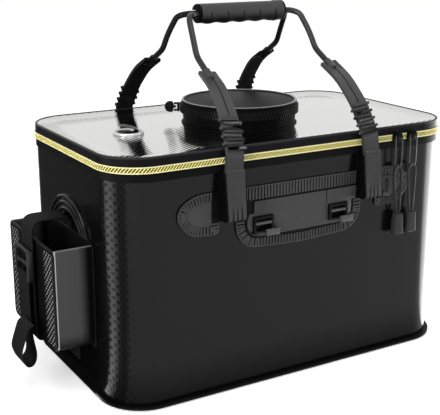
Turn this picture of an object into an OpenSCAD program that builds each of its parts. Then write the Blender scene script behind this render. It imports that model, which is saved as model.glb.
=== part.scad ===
// Aerated bait bucket: a welded soft-wall box with a zipped lid, a round feeder port,
// a pair of carrying handles with a shared grip, and a strapped pocket for the air pump.
// Millimetres. Origin at the centre of the underside, X along the bucket, front face at -Y.

/* [Bucket body] */
// Outside length of the body wall
body_l = 494; // [450:1:540]
// Outside depth of the body wall
body_w = 289; // [270:1:310]
// Height of the body wall
wall_h = 286; // [260:1:320]
// Corner radius of the body wall
body_r = 51; // [40:1:60]
// Thickness of the body wall
wall_t = 3; // [2:0.5:4.5]
// Thickness of the floor
floor_t = 3; // [2:0.5:6]

/* [Base welt] */
// How far the base welt stands out of the wall
welt_out = 6; // [4:0.5:8]
// Height of the base welt
welt_h = 3.5; // [2.5:0.5:5]
// Height of the welt's underside over the floor
welt_lift = 2; // [1:0.5:4]

/* [Lip and main zip] */
// How far the moulded lip stands out of the wall
lip_out = 1.5; // [1:0.25:2]
// How far the lip reaches down and up from the wall's top edge
lip_half = 5; // [4:0.5:7]
// Height of the closed zip
zip_h = 8; // [7:0.5:10]
// Height of each edge cord of the zip
bead_h = 2.2; // [1.6:0.1:2.6]
// How far the edge cords stand out of the wall
bead_out = 3.2; // [2.9:0.1:3.5]
// Pitch of the zip's teeth
tooth_pitch = 4; // [3.5:0.5:8]
// Gap between the two halves of a closed zip
zip_gap = 0.3; // [0.3:0.05:0.5]
// Length of the fabric hinge at the back
hinge_l = 150; // [100:5:160]

/* [Lid] */
// Height of the lid's stiff rim
rim_h = 10; // [8:0.5:13]
// Width of the lid's stiff rim
rim_w = 8; // [6:0.5:12]
// Height of the ledge that carries the lid panel
ledge_h = 3; // [2:0.5:4]
// Thickness of the lid panel
panel_t = 3; // [2:0.5:3.5]
// Radius of the piping round the lid's top edge
piping_r = 2.5; // [1.5:0.1:2.6]

/* [Feeder port] */
// Outside radius of the port's collar
port_r = 75.5; // [65:0.5:80]
// Thickness of the port's collar
port_wall = 3; // [2.5:0.5:4]
// Height of the collar over the lid panel
collar_h = 15; // [12:0.5:22]
// Height of the port's closed zip
port_zip_h = 10; // [8:0.5:12]
// How far the port's zip teeth stand out of the collar
port_zip_out = 3.5; // [3:0.1:4]
// Pitch of the port's zip teeth
port_pitch = 4.6; // [4:0.2:6]
// Height of the port cover over its zip
cover_h = 6.5; // [5:0.5:9]
// Radius of the piping round the port cover
cover_bead_r = 1.8; // [1.3:0.1:2.2]
// Where the port's zip slider is parked, from +X
port_slider_angle = 150; // [145:1:170]

/* [Hose port] */
// Distance of the hose port from the bucket's middle
hose_x = 163; // [155:1:170]
// Bore for the air hose
hose_bore = 9; // [6:0.5:11]
// Radius of the metal ring
ring_r = 21; // [18:0.5:22]
// Height of the metal ring
ring_h = 5; // [4:0.5:7]
// Tilt of the rubber flap as it rests half open
flap_tilt = 14; // [8:1:18]

/* [Handles] */
// Distance of the hinge pins from the middle, along the bucket
pin_x = 101.5; // [98:0.5:105]
// Distance of the hinge pins out of the wall
pin_out = 14.5; // [13.5:0.5:17]
// Distance of the hinge pins under the wall's top edge
pin_drop = 57; // [52:1:62]
// Diameter of the hinge pins
pin_d = 5; // [4:0.5:6]
// Clearance of the hinge bores round the pins
pin_gap = 0.3; // [0.2:0.05:0.4]
// Width of a handle leg
leg_w = 24; // [20:1:26]
// Thickness of a handle leg
leg_t = 4.5; // [3.5:0.5:5]
// Number of offset ribs on each leg
leg_ribs = 8; // [5:1:8]
// Radius of the handle rods
rod_r = 3.8; // [3:0.1:4]

/* [Grip] */
// Length of the grip
grip_l = 130; // [110:1:140]
// Outside radius of the grip
grip_r = 12.5; // [12:0.1:14]
// Height of the grip's middle over the zip
grip_rise = 155; // [148:1:170]

/* [Handle pads] */
// Thickness of the welded pad
pad_t = 1.5; // [1:0.25:2]
// Height of the raised ribs round the pad
rib_h = 1.2; // [0.8:0.1:1.4]
// Pitch of the raised ribs
rib_pitch = 4.4; // [4:0.2:6]
// Thickness of the raised middle plate
plate_t = 2; // [1:0.25:2.5]

/* [Zip sliders and pulls] */
// Place of the inner slider along the front
slider_x1 = 147; // [142:1:148]
// Place of the outer slider along the front
slider_x2 = 171; // [166:1:174]
// Width of a slider
slider_w = 13; // [10:0.5:14]
// Length of the wire stirrup
stirrup_l = 42; // [34:1:46]
// Length of the cord between stirrup and tag
pull_cord_l = 62; // [54:1:66]
// Length of the rubber tag
tag_l = 28; // [24:1:32]

/* [Pump pocket] */
// Width of the pocket along the side wall
pocket_w = 150; // [130:2:170]
// Depth of the pocket out of the side wall
pocket_d = 51.5; // [44:0.5:60]
// Height of the pocket
pocket_h = 128; // [110:1:140]
// Height of the pocket's underside over the floor
pocket_z = 66; // [58:1:74]
// Wall thickness of the pocket
pocket_t = 2.5; // [2:0.25:4]
// Radius of the round backboard
board_r = 66; // [60:1:70]
// Width of the webbing
webbing_w = 38; // [30:1:44]
// Thickness of the webbing
webbing_t = 1.6; // [1.2:0.1:2]

/* [Hidden] */
$fn = 64;
eps = 0.01;

// Heights, from the floor up
wall_y = body_w / 2;
wall_x = body_l / 2;
lip_top = wall_h + lip_half;
zip_z = lip_top + zip_h / 2;
zip_top = lip_top + zip_h;
panel_z = zip_top + 1 + ledge_h;
lid_z = panel_z + panel_t;
rim_top = zip_top + rim_h;
tape_out = 1.3;
tape_in = -0.5;
tooth_out = 2.8;
tooth_root = 1.9;
strip_t = 1.2;
hinge_y = wall_y + bead_out + strip_t;

// Feeder port
port_base_r = port_r - 1;
port_zip_z = lid_z + collar_h + port_zip_h / 2;
port_zip_r = port_r + port_zip_out;
cover_z = port_zip_z + port_zip_h / 2;
cover_top = cover_z + cover_h;
port_hinge_t = 1.5;
port_hinge_w = 44;

// Handles
pin_y = wall_y + pin_out;
pin_z = wall_h - pin_drop;
knuckle_r = pin_d / 2 + 3;
grip_z = zip_z + grip_rise;
rod_y = 5.6;
lean = 6;

// ---------- shared shapes ----------

// Plan of the bucket, moved outwards by s
module plan(s) {
    r = body_r + s;
    square([body_l + 2 * s, body_w + 2 * s - 2 * r], center = true);
    square([body_l + 2 * s - 2 * r, body_w + 2 * s], center = true);
    for (x = [-1, 1], y = [-1, 1])
        translate([x * (wall_x + s - r), y * (wall_y + s - r)]) circle(r);
}

// Band round the bucket between the offsets s0 and s1 and the heights z0 and z1
module band(s0, s1, z0, z1) {
    translate([0, 0, z0]) difference() {
        linear_extrude(z1 - z0) plan(s1);
        translate([0, 0, -1]) linear_extrude(z1 - z0 + 2) plan(s0);
    }
}

// Point at the distance u along the bucket's plan, moved outwards by s
straight_x = body_l - 2 * body_r;
straight_y = body_w - 2 * body_r;
quarter = PI / 2 * body_r;
plan_run = 2 * straight_x + 2 * straight_y + 4 * quarter;
function turn(v, a) = [v[0] * cos(a) - v[1] * sin(a), v[0] * sin(a) + v[1] * cos(a)];
function side_point(t, half, straight, s) =
    t < straight
        ? [half + s, t - straight / 2]
        : [half - body_r, straight / 2] + (body_r + s) * turn([1, 0], (t - straight) / body_r * 180 / PI);
function plan_point(u, s) =
    let (v = u % plan_run, a = straight_y + quarter, b = straight_x + quarter)
    v < a ? side_point(v, wall_x, straight_y, s)
    : v < a + b ? turn(side_point(v - a, wall_y, straight_x, s), 90)
    : v < 2 * a + b ? turn(side_point(v - a - b, wall_x, straight_y, s), 180)
    : turn(side_point(v - 2 * a - b, wall_y, straight_x, s), 270);

// Ring of teeth along the plan: the outside is notched once a pitch
module tooth_row(z0, z1, shift) {
    count = round(plan_run / tooth_pitch);
    step = plan_run / count;
    outside = [for (i = [0:count - 1], k = [[0, tooth_out], [0.55, tooth_out], [0.55, tooth_root], [1, tooth_root]])
        plan_point((i + k[0] + shift) * step, k[1])];
    translate([0, 0, z0]) difference() {
        linear_extrude(z1 - z0) polygon(outside);
        translate([0, 0, -1]) linear_extrude(z1 - z0 + 2) plan(tape_out);
    }
}

// Round bead of radius r along the plan at the offset s
module plan_bead(s, z, r) {
    reach = body_r + s;
    for (k = [0:3]) rotate(k * 90) {
        half = k % 2 == 0 ? [wall_x, wall_y] : [wall_y, wall_x];
        run = 2 * (half[1] - body_r);
        translate([half[0] + s, run / 2, z]) rotate([90, 0, 0]) cylinder(h = run, r = r, $fn = 24);
        translate([half[0] - body_r, half[1] - body_r, z])
            rotate_extrude(angle = 90) translate([reach, 0]) circle(r, $fn = 24);
    }
}

// Smooth path: straight runs joined by arcs, from points given as [x, y, radius]
function unit(v) = v / norm(v);
function flat2(p) = [p[0], p[1]];
function bend(a, b, c, r, n) =
    let (u = unit(a - b), v = unit(c - b), half = acos(u * v) / 2,
         m = b + unit(u + v) * r / sin(half), p = b + u * r / tan(half) - m, q = b + v * r / tan(half) - m,
         a0 = atan2(p[1], p[0]), da = (atan2(q[1], q[0]) - a0 + 540) % 360 - 180)
    [for (i = [0:n]) m + r * [cos(a0 + da * i / n), sin(a0 + da * i / n)]];
function smooth_path(c, n = 6) = concat(
    [flat2(c[0])],
    [for (i = [1:len(c) - 2]) each bend(flat2(c[i - 1]), flat2(c[i]), flat2(c[i + 1]), c[i][2], n)],
    [flat2(c[len(c) - 1])]);

// Lengths along a path, and the point and direction at the distance u along it
function runs(p, i = 0, s = 0) =
    i == len(p) - 1 ? [s] : concat([s], runs(p, i + 1, s + norm(p[i + 1] - p[i])));
function spot(p, run, u, i = 0) =
    i == len(p) - 2 || u <= run[i + 1]
        ? let (d = unit(p[i + 1] - p[i])) [p[i] + d * (u - run[i]), d]
        : spot(p, run, u, i + 1);
function beside(s, t) = s[0] + t * [-s[1][1], s[1][0]];

// Strip of the thickness t0 to t1 beside a path
function strip(p, t0, t1) =
    let (at = [for (i = [0:len(p) - 1]) [p[i], unit(p[min(i + 1, len(p) - 1)] - p[max(i - 1, 0)])]])
    concat([for (s = at) beside(s, t0)], [for (i = [len(at) - 1:-1:0]) beside(at[i], t1)]);

// Comb along a path: a rail on the path with a rib inwards once a pitch
module comb(p, rail, depth, pitch) {
    run = runs(p);
    total = run[len(run) - 1];
    n = round(total / pitch);
    step = total / n;
    polygon(strip(p, 0, rail));
    for (i = [0:n - 1]) {
        s = spot(p, run, (i + 0.5) * step);
        translate(beside(s, rail / 2)) rotate(atan2(s[1][1], s[1][0]))
            translate([-step * 0.3, 0]) square([step * 0.6, depth - rail / 2]);
    }
}

// Tube of the radius r swept along 3-D points
function cross_frame(p) = let (n = len(p))
    [for (i = [0:n - 1]) let (d = unit(p[min(i + 1, n - 1)] - p[max(i - 1, 0)]),
        a = unit(cross(d, [0.13, 0.31, 0.94]))) [p[i], a, cross(d, a)]];
module tube(p, r, sides = 12) {
    f = cross_frame(p);
    n = len(p);
    step = 360 / sides;
    pts = [for (s = f, k = [0:sides - 1]) s[0] + r * (cos(k * step) * s[1] + sin(k * step) * s[2])];
    skin = [for (i = [0:n - 2], k = [0:sides - 1]) let (a = i * sides, b = a + sides, j = (k + 1) % sides)
        each [[a + k, a + j, b + j], [a + k, b + j, b + k]]];
    polyhedron(pts, concat(skin, [[for (k = [sides - 1:-1:0]) k]], [[for (k = [0:sides - 1]) (n - 1) * sides + k]]));
}

// Quadratic curve through space
function curve3(a, b, c, n) = [for (i = [0:n]) let (t = i / n) (1 - t) * (1 - t) * a + 2 * t * (1 - t) * b + t * t * c];

// Puts an (x, z) outline on the front wall, thickness outwards from the offset s
module on_front(s, t) {
    translate([0, -wall_y - s, 0]) rotate([90, 0, 0]) linear_extrude(t) children();
}

// ---------- body ----------

module body_shell() {
    color([0.15, 0.15, 0.15]) difference() {
        linear_extrude(wall_h) plan(0);
        translate([0, 0, floor_t]) linear_extrude(wall_h) plan(-wall_t);
    }
}

module base_welt() {
    color([0.10, 0.10, 0.10]) band(0, welt_out, welt_lift, welt_lift + welt_h);
}

module body_lip() {
    color([0.08, 0.08, 0.08]) {
        band(0, lip_out, wall_h - lip_half, lip_top);
        band(-wall_t, 0, wall_h, lip_top);
    }
}

module body_zip_tape() {
    color([0.08, 0.08, 0.08]) band(tape_in, tape_out, lip_top, zip_z - zip_gap / 2);
}

module body_zip_cord() {
    color([0.95, 0.88, 0.55]) band(tape_out, bead_out, lip_top, lip_top + bead_h);
}

module body_zip_teeth() {
    color([0.72, 0.60, 0.25]) tooth_row(lip_top + bead_h, zip_z - zip_gap / 2, 0);
}

module back_strip(z0, z1) {
    translate([-hinge_l / 2, wall_y + bead_out, z0]) cube([hinge_l, strip_t, z1 - z0]);
}

module hinge_strip_lower() {
    color([0.08, 0.08, 0.08]) {
        back_strip(wall_h - lip_half, zip_z - zip_gap / 2);
        translate([-hinge_l / 2, wall_y + lip_out, wall_h - lip_half])
            cube([hinge_l, bead_out - lip_out, lip_half * 2]);
    }
}

// ---------- lid ----------

module lid_zip_tape() {
    color([0.08, 0.08, 0.08]) band(tape_in, tape_out, zip_z + zip_gap / 2, zip_top);
}

module lid_zip_cord() {
    color([0.95, 0.88, 0.55]) band(tape_out, bead_out, zip_top - bead_h, zip_top);
}

module lid_zip_teeth() {
    color([0.72, 0.60, 0.25]) tooth_row(zip_z + zip_gap / 2, zip_top - bead_h, 0.5);
}

module hinge_strip_upper() {
    color([0.08, 0.08, 0.08]) {
        back_strip(zip_z + zip_gap / 2, rim_top - piping_r);
        translate([-hinge_l / 2, wall_y + lip_out, zip_top])
            cube([hinge_l, bead_out - lip_out, rim_h - piping_r]);
    }
}

module lid_rim() {
    color([0.08, 0.08, 0.08]) {
        band(lip_out - 3, lip_out, zip_top, rim_top);
        band(lip_out - rim_w, lip_out - 3, zip_top + 1, panel_z);
    }
}

module lid_panel() {
    color([0.30, 0.30, 0.30]) difference() {
        translate([0, 0, panel_z]) linear_extrude(panel_t) plan(lip_out - 3);
        translate([0, 0, panel_z - 1]) cylinder(h = panel_t + 2, r = port_base_r - port_wall);
        translate([-hose_x, 0, panel_z - 1]) cylinder(h = panel_t + 2, d = hose_bore + 4);
    }
}

module lid_piping() {
    color([0.45, 0.45, 0.45]) difference() {
        plan_bead(lip_out - piping_r, rim_top, piping_r);
        translate([-body_l, -body_w, rim_top - 2 * piping_r]) cube([2 * body_l, 2 * body_w, 2 * piping_r]);
    }
}

// ---------- feeder port ----------

module port_ring(r0, r1, z0, z1) {
    translate([0, 0, z0]) difference() {
        cylinder(h = z1 - z0, r = r1, $fn = 96);
        translate([0, 0, -1]) cylinder(h = z1 - z0 + 2, r = r0, $fn = 96);
    }
}

module port_collar() {
    color([0.09, 0.09, 0.09]) rotate_extrude($fn = 96) polygon([
        [port_base_r - port_wall, lid_z], [port_base_r + 2.5, lid_z], [port_base_r + 2.5, lid_z + 1],
        [port_base_r, lid_z + 3], [port_r, lid_z + collar_h],
        [port_r - port_wall, lid_z + collar_h], [port_base_r - port_wall, lid_z + 3]]);
}

// Notched ring: the port zip's teeth are upright bars once a pitch
module port_teeth(z0, z1, shift) {
    count = round(2 * PI * port_zip_r / port_pitch);
    pts = [for (i = [0:count - 1], k = [[0, 0], [0.55, 0], [0.55, 1], [1, 1]])
        let (a = (i + k[0] + shift) * 360 / count) (port_zip_r - 1.3 * k[1]) * [cos(a), sin(a)]];
    translate([0, 0, z0]) difference() {
        linear_extrude(z1 - z0) polygon(pts);
        translate([0, 0, -1]) cylinder(h = z1 - z0 + 2, r = port_r - port_wall + 1, $fn = 96);
    }
}

module port_zip_lower() {
    color([0.10, 0.10, 0.10])
        port_teeth(port_zip_z - port_zip_h / 2, port_zip_z - zip_gap / 2, 0);
}

module port_zip_upper() {
    color([0.10, 0.10, 0.10])
        port_teeth(port_zip_z + zip_gap / 2, port_zip_z + port_zip_h / 2, 0.5);
}

// Curved leather tab at the back of the port, between two heights
module port_tab(z0, z1) {
    intersection() {
        port_ring(port_zip_r, port_zip_r + port_hinge_t, z0, z1);
        translate([-port_hinge_w / 2, 0, z0 - 1]) cube([port_hinge_w, port_zip_r * 2, z1 - z0 + 2]);
    }
}

module port_hinge_lower() {
    color([0.07, 0.07, 0.07]) port_tab(lid_z + 5, port_zip_z - zip_gap / 2);
}

module port_hinge_upper() {
    color([0.07, 0.07, 0.07]) port_tab(port_zip_z + zip_gap / 2, cover_z + 3);
}

module port_skirt() {
    color([0.09, 0.09, 0.09]) rotate_extrude($fn = 96) polygon([
        [port_r - port_wall, cover_z], [port_zip_r - 1, cover_z],
        [port_r + 1.2, cover_top - 2 * cover_bead_r], [port_r - port_wall, cover_top - 2 * cover_bead_r]]);
}

module port_piping() {
    color([0.75, 0.75, 0.73]) rotate_extrude($fn = 96)
        translate([port_r - 0.6, cover_top - cover_bead_r]) circle(cover_bead_r, $fn = 20);
}

module port_cover() {
    crown = 1.6;
    edge = port_r - 0.6 - cover_bead_r;
    z0 = cover_top - 2 * cover_bead_r;
    arc_r = (edge * edge + crown * crown) / (2 * crown);
    centre_z = cover_top - cover_bead_r + crown - arc_r;
    color([0.28, 0.28, 0.28]) rotate_extrude($fn = 96) polygon(concat([[0, z0], [edge, z0]],
        [for (i = [8:-1:0]) let (x = edge * i / 8) [x, centre_z + sqrt(arc_r * arc_r - x * x)]]));
}

// Slider that runs round the port, and the paddle that swings on its upright pin
pull_pin = 5.6;
lug_in = 3.5;
lug_h = 2;
paddle_t = 2.4;
module at_port_slider() {
    rotate(port_slider_angle) translate([port_zip_r, 0, port_zip_z]) children();
}

module port_slider() {
    color([0.07, 0.07, 0.07]) at_port_slider() difference() {
        union() {
            translate([0.35, -5, -5.5]) cube([3, 10, 11]);
            for (z = [-lug_in - lug_h, lug_in]) translate([3.3, -2.5, z]) cube([4.5, 5, lug_h]);
        }
        translate([pull_pin, 0, 0]) cylinder(h = 14, d = 2.2, center = true, $fn = 24);
    }
}

module port_pull() {
    color([0.05, 0.05, 0.05]) at_port_slider() translate([pull_pin, 0, 0]) {
        cylinder(h = 2 * (lug_in + lug_h) - 0.4, d = 1.8, center = true, $fn = 24);
        translate([-1.2, -paddle_t / 2, 0.3 - lug_in]) cube([6.2, paddle_t, 2 * lug_in - 0.6]);
        intersection() {
            translate([4, -paddle_t / 2, -7.5]) cube([12, paddle_t, 15]);
            translate([5, 0, 0]) rotate([90, 0, 0]) cylinder(h = 6, r = 9, center = true);
        }
        translate([8.6, 0, 0]) rotate([90, 0, 0]) difference() {
            cylinder(h = paddle_t + 0.6, r = 4, center = true);
            cylinder(h = 6, r = 3, center = true);
        }
    }
}

// ---------- hose port ----------

module at_hose() {
    translate([-hose_x, 0, lid_z]) children();
}

module hose_ring() {
    color([0.85, 0.85, 0.86]) at_hose() rotate_extrude() polygon(concat(
        [[ring_r - 8, 0], [ring_r, 0]],
        [for (a = [0:15:180]) [ring_r - 3.5 + 3.5 * cos(a), ring_h - 3.5 + 3.5 * sin(a)]],
        [[ring_r - 8, 1.5]]));
}

module hose_gasket() {
    color([0.05, 0.05, 0.05]) at_hose() difference() {
        union() {
            cylinder(h = 1.5, r = ring_r - 8);
            translate([ring_r - 11.5, -4, 0]) cube([2.8, 8, ring_h]);
            translate([0, 0, -panel_t - 1.5]) cylinder(h = panel_t + 2, d = hose_bore + 4);
            translate([0, 0, -panel_t - 3]) cylinder(h = 3 - eps, r = hose_bore);
        }
        translate([0, 0, -panel_t - 4]) cylinder(h = panel_t + 8, d = hose_bore);
    }
}

// Rubber flap: a low dome hinged at its right edge, resting half open
module hose_flap() {
    flap_r = ring_r - 7.5;
    color([0.22, 0.22, 0.23]) at_hose() translate([flap_r - 1, 0, ring_h + 0.3]) rotate([0, flap_tilt, 0]) {
        intersection() {
            translate([-flap_r, 0, 0]) cylinder(h = 6, r = flap_r);
            translate([-flap_r, 0, 3 - 32]) sphere(32, $fn = 96);
        }
    }
}

// ---------- handle pads ----------

// Outlines as (x, z), heights from the pin's height
bracket_half = leg_w / 2 + 0.5 + 2.5;
bracket_drop = pin_d / 2 + 3.5;
ear_x = pin_x + bracket_half + 0.7;
lobe_x = pin_x - 8;
pad_top = 29.5;
base_top = wall_h - lip_half - 0.5;
ear_path = [for (c = [[-ear_x, pad_top, 0], [-ear_x - 33, pad_top, 50], [-ear_x - 63, 9, 18],
    [-ear_x - 39.5, -21, 30], [-ear_x, -22.5, 6], [-ear_x, -bracket_drop - 0.7, 0]])
    [c[0], pin_z + c[1], c[2]]];
lobe_path = [for (c = [[-lobe_x, -bracket_drop - 0.7, 0], [-lobe_x + 0.5, -46, 30], [0, -50.5, 260],
    [lobe_x - 0.5, -46, 30], [lobe_x, -bracket_drop - 0.7, 0]])
    [c[0], pin_z + c[1], c[2]]];

module pad_plan() {
    for (k = [0, 1]) mirror([k, 0]) polygon(smooth_path(ear_path));
    translate([-ear_x, pin_z - bracket_drop - 0.7]) square([2 * ear_x, pad_top + bracket_drop + 0.7]);
    for (k = [-1, 1]) translate([k * pin_x - bracket_half, pin_z]) square([2 * bracket_half, base_top - pin_z]);
    polygon(smooth_path(lobe_path));
}

module front_pad() {
    color([0.20, 0.20, 0.20]) on_front(0, pad_t) pad_plan();
}

module pad_ribs() {
    ear = smooth_path(ear_path);
    lobe = smooth_path(lobe_path);
    on_front(pad_t, rib_h) {
        for (k = [0, 1]) mirror([k, 0]) comb(ear, 1.2, 10.5, rib_pitch);
        comb(lobe, 1.2, 11.5, rib_pitch);
        for (k = [0, 1]) mirror([k, 0])
            comb([[0, pin_z + pad_top], [bracket_half + 1 - pin_x, pin_z + pad_top]], 1.2, 16.5, rib_pitch);
    }
}

module front_pad_ribs() {
    color([0.24, 0.24, 0.24]) pad_ribs();
}

// Middle plate: a bar over a tray with two windows, and an ear plate with an upright slot
plate_end = pin_x - bracket_half - 1;
plate_half = 78;
bar_left = -68.5;
notch_x = 38;
window_x = [-56, 56];
window_w = 28.8;
window_h = 20.6;
window_z = pin_z - 29;
ear_plate_x = pin_x + bracket_half + 2;
ear_plate_w = 24.5;

module plate() {
    on_front(pad_t, plate_t) difference() {
        union() {
            translate([bar_left, pin_z - 6]) square([plate_end - bar_left, 16.5]);
            polygon(smooth_path([for (c = [[-1, -4, 0], [-1, -34, 18], [1, -34, 18], [1, -4, 0]])
                [c[0] * plate_half, pin_z + c[1], c[2]]]));
        }
        translate([notch_x, pin_z - 5]) square([1.2, 20]);
        for (x = window_x) translate([x - window_w / 2, window_z]) square([window_w, window_h]);
    }
    on_front(pad_t, plate_t) for (k = [0, 1]) mirror([k, 0]) difference() {
        union() {
            translate([ear_plate_x, pin_z - 6]) square([ear_plate_w, 23.5]);
            translate([ear_plate_x + 10.5, pin_z - 10.5]) square([ear_plate_w - 10.5, 12]);
        }
        translate([ear_plate_x + 11.5, pin_z - 4.5]) square([6.5, 17.5]);
    }
}

module front_plate() {
    color([0.27, 0.27, 0.27]) plate();
}

// Moulded loop in each window of the plate, with a cross bar and a tongue under it
clip_w = window_w - 0.6;
clip_h = window_h - 0.6;
clip_t = 5;
clip_side = 3;
tongue_out = 9;
tongue_w = 18.6;

module clips() {
    for (x = window_x) translate([x, -wall_y - pad_t, window_z + 0.3]) {
        for (z = [10, clip_h - clip_side]) translate([-clip_w / 2, -clip_t, z]) cube([clip_w, clip_t, clip_side]);
        for (e = [-clip_w / 2, clip_w / 2 - clip_side]) translate([e, -clip_t, 0]) cube([clip_side, clip_t, clip_h]);
        translate([-clip_w / 2, -clip_t, 0]) cube([clip_w, clip_t, 2]);
        translate([2, -tongue_out, 0]) cube([tongue_w, tongue_out - plate_t, 3]);
        translate([2, -tongue_out, -4.5]) cube([tongue_w, 2.5, 8.5]);
    }
}

module front_clips() {
    color([0.12, 0.12, 0.12]) clips();
}

// ---------- handle hinges ----------

cheek_in = leg_w / 2 + 0.5;
cheek_t = bracket_half - cheek_in;
bracket_t = 3.5;

// Moulded bracket: a base plate and two tall cheeks that hold the hinge pin
module bracket() {
    base_y = -wall_y - pad_t;
    difference() {
        union() {
            translate([-bracket_half, base_y - bracket_t, pin_z - bracket_drop])
                cube([2 * bracket_half, bracket_t, base_top - pin_z + bracket_drop]);
            for (x = [-cheek_in - cheek_t, cheek_in]) translate([x, 0, 0]) {
                translate([0, -pin_y, pin_z]) rotate([0, 90, 0]) cylinder(h = cheek_t, r = knuckle_r);
                translate([0, -pin_y, pin_z - knuckle_r]) cube([cheek_t, pin_out - pad_t, 2 * knuckle_r]);
                rotate([90, 0, 90]) linear_extrude(cheek_t) polygon([[base_y, pin_z], [1 - pin_y - knuckle_r, pin_z],
                    [base_y - 10.5, base_top], [base_y, base_top]]);
            }
        }
        translate([-50, -pin_y, pin_z]) rotate([0, 90, 0]) cylinder(h = 100, d = pin_d);
    }
}

module brackets() {
    for (k = [-1, 1]) translate([k * pin_x, 0, 0]) bracket();
}

module front_brackets() {
    color([0.10, 0.10, 0.10]) brackets();
}

module hinge_pins() {
    color([0.60, 0.60, 0.60]) for (x = [-1, 1], y = [-1, 1]) translate([x * pin_x, y * pin_y, pin_z]) {
        h = cheek_in + cheek_t;
        rotate([0, 90, 0]) cylinder(h = 2 * h, d = pin_d, center = true);
        for (e = [-1, 1]) translate([e * (h + 0.6), 0, 0]) rotate([0, 90, 0])
            cylinder(h = 1.2, d = pin_d + 2.5, center = true);
    }
}

module bracket_rivets() {
    rivet_z = pin_z + 20;
    color([0.55, 0.55, 0.55]) for (x = [-1, 1], y = [-1, 1], e = [-9, 9])
        translate([x * pin_x + e, y * (wall_y + pad_t + bracket_t), rivet_z])
            rotate([-y * 90, 0, 0]) cylinder(h = 1, r = 3);
}

// ---------- handles ----------

// Side view of a leg as (distance out of the wall, height over the zip)
leg_z0 = -12;
shoulder_y = -wall_y * 0.5;
leg_side = [
    [10, leg_z0, 0], [8.2, 12, 26], [-12.5, 48, 90],
    [-wall_y + 104, 76, 100], [shoulder_y, 92, 0]];
leg_path = smooth_path([for (c = leg_side) [c[0], zip_z + c[1], c[2]]], 8);
leg_run = runs(leg_path);

// Where the rod leaves its socket, and the kink over it
socket_end = leg_path[len(leg_path) - 1];
rod_x0 = pin_x - (socket_end[1] - zip_z - leg_z0) * sin(lean);
rod_start = [rod_x0, -wall_y - socket_end[0], socket_end[1]];
kink = [rod_x0 - 1.6, -43, zip_z + 109];

// Hook that grips the hinge pin: three tapered slots part its four fingers
hook_out = 15.5;
hook_chamfer = 2;
module hook() {
    top = zip_z + leg_z0;
    crest = top + hook_chamfer;
    difference() {
        union() {
            translate([-leg_w / 2, -pin_y, pin_z]) rotate([0, 90, 0]) cylinder(h = leg_w, r = knuckle_r);
            rotate([90, 0, 90]) linear_extrude(leg_w, center = true) polygon([
                [-pin_y - knuckle_r, pin_z], [-wall_y - hook_out, top], [-wall_y - hook_out + hook_chamfer, crest],
                [-wall_y - 7, crest], [-wall_y - 6.6, top - 26], [-wall_y - 9.2, top - 26],
                [-wall_y - 9.4, top - 6], [-pin_y - knuckle_r + 4.5, pin_z + 8], [-pin_y, pin_z + knuckle_r - 1]]);
        }
        translate([-50, -pin_y, pin_z]) rotate([0, 90, 0]) cylinder(h = 100, d = pin_d + 2 * pin_gap);
        for (i = [-1:1]) translate([i * leg_w / 4, 20 - pin_y, pin_z]) rotate([90, 0, 0])
            linear_extrude(40) polygon([[-0.3, 12], [0.3, 12], [1.6, -8], [-1.6, -8]]);
    }
}

module leg_strap() {
    upper = [for (i = [14:len(leg_path) - 1]) leg_path[i]];
    groove = strip(upper, -leg_t / 2 - 1, -leg_t / 2 + 1.2);
    rotate([90, 0, 90]) difference() {
        linear_extrude(leg_w - 1, center = true)
            polygon([for (p = strip(leg_path, -leg_t / 2, leg_t / 2)) [-wall_y - p[0], p[1]]]);
        translate([0, 0, -1.25]) linear_extrude(2.5) polygon([for (p = groove) [-wall_y - p[0], p[1]]]);
    }
    // offset ribs of the strain relief
    for (i = [0:leg_ribs - 1]) {
        s = spot(leg_path, leg_run, 26.5 + i * 5);
        side = i % 2 == 0 ? -1.6 : 1.6;
        translate([side, -wall_y - s[0][0], s[0][1]])
            rotate([90 - atan2(s[1][1], s[1][0]), 0, 0]) translate([-leg_w / 2 - 0.5, -leg_t / 2 - 1.6, -1.5])
                cube([leg_w + 1, leg_t + 1.6, 3]);
    }
}

// The rod's end sits in the blind bore of a round socket on the leg's end
rod_line = unit(kink - rod_start);
rod_sunk = 8;
socket_l = 15;
socket_r = rod_r + 1.4;
module along_rod(u) {
    translate(rod_start + rod_line * u - [pin_x, 0, 0])
        rotate([0, acos(rod_line[2]), atan2(rod_line[1], rod_line[0])]) children();
}

module leg() {
    hook();
    difference() {
        union() {
            translate([0, 0, zip_z + leg_z0]) rotate([0, -lean, 0]) translate([0, 0, -zip_z - leg_z0]) leg_strap();
            along_rod(2 - socket_l) cylinder(h = socket_l, r = socket_r);
        }
        along_rod(-rod_sunk) cylinder(h = 30, r = rod_r + 0.05);
    }
}

module front_leg(k) {
    translate([k * pin_x, 0, 0]) mirror([k < 0 ? 1 : 0, 0, 0]) leg();
}

module front_leg_left() {
    color([0.30, 0.30, 0.30]) front_leg(-1);
}

module front_leg_right() {
    color([0.30, 0.30, 0.30]) front_leg(1);
}

module rear_leg_left() {
    color([0.26, 0.26, 0.26]) mirror([0, 1, 0]) front_leg(-1);
}

module rear_leg_right() {
    color([0.26, 0.26, 0.26]) mirror([0, 1, 0]) front_leg(1);
}

// Rod from one socket over the kink, through the grip and back down
shoulder = [rod_x0 - 6, -20, zip_z + 146];
grip_end = [grip_l / 2 + 2, -rod_y, grip_z];
rod_half = concat(
    [rod_start - rod_line * (rod_sunk - 0.3), rod_start, rod_start + rod_line * norm(kink - rod_start) * 0.8],
    curve3(kink + [0, -1, 1], kink * 0.5 + shoulder * 0.5 + [1.5, -4, 0], shoulder, 5),
    curve3(shoulder * 0.85 + grip_end * 0.15 + [2, 0, 3], [rod_x0 - 12, -rod_y, grip_z + 1], grip_end, 5));
function flip_x(p) = [-p[0], p[1], p[2]];
rod_path = concat(rod_half, [for (i = [len(rod_half) - 1:-1:0]) flip_x(rod_half[i])]);

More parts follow.
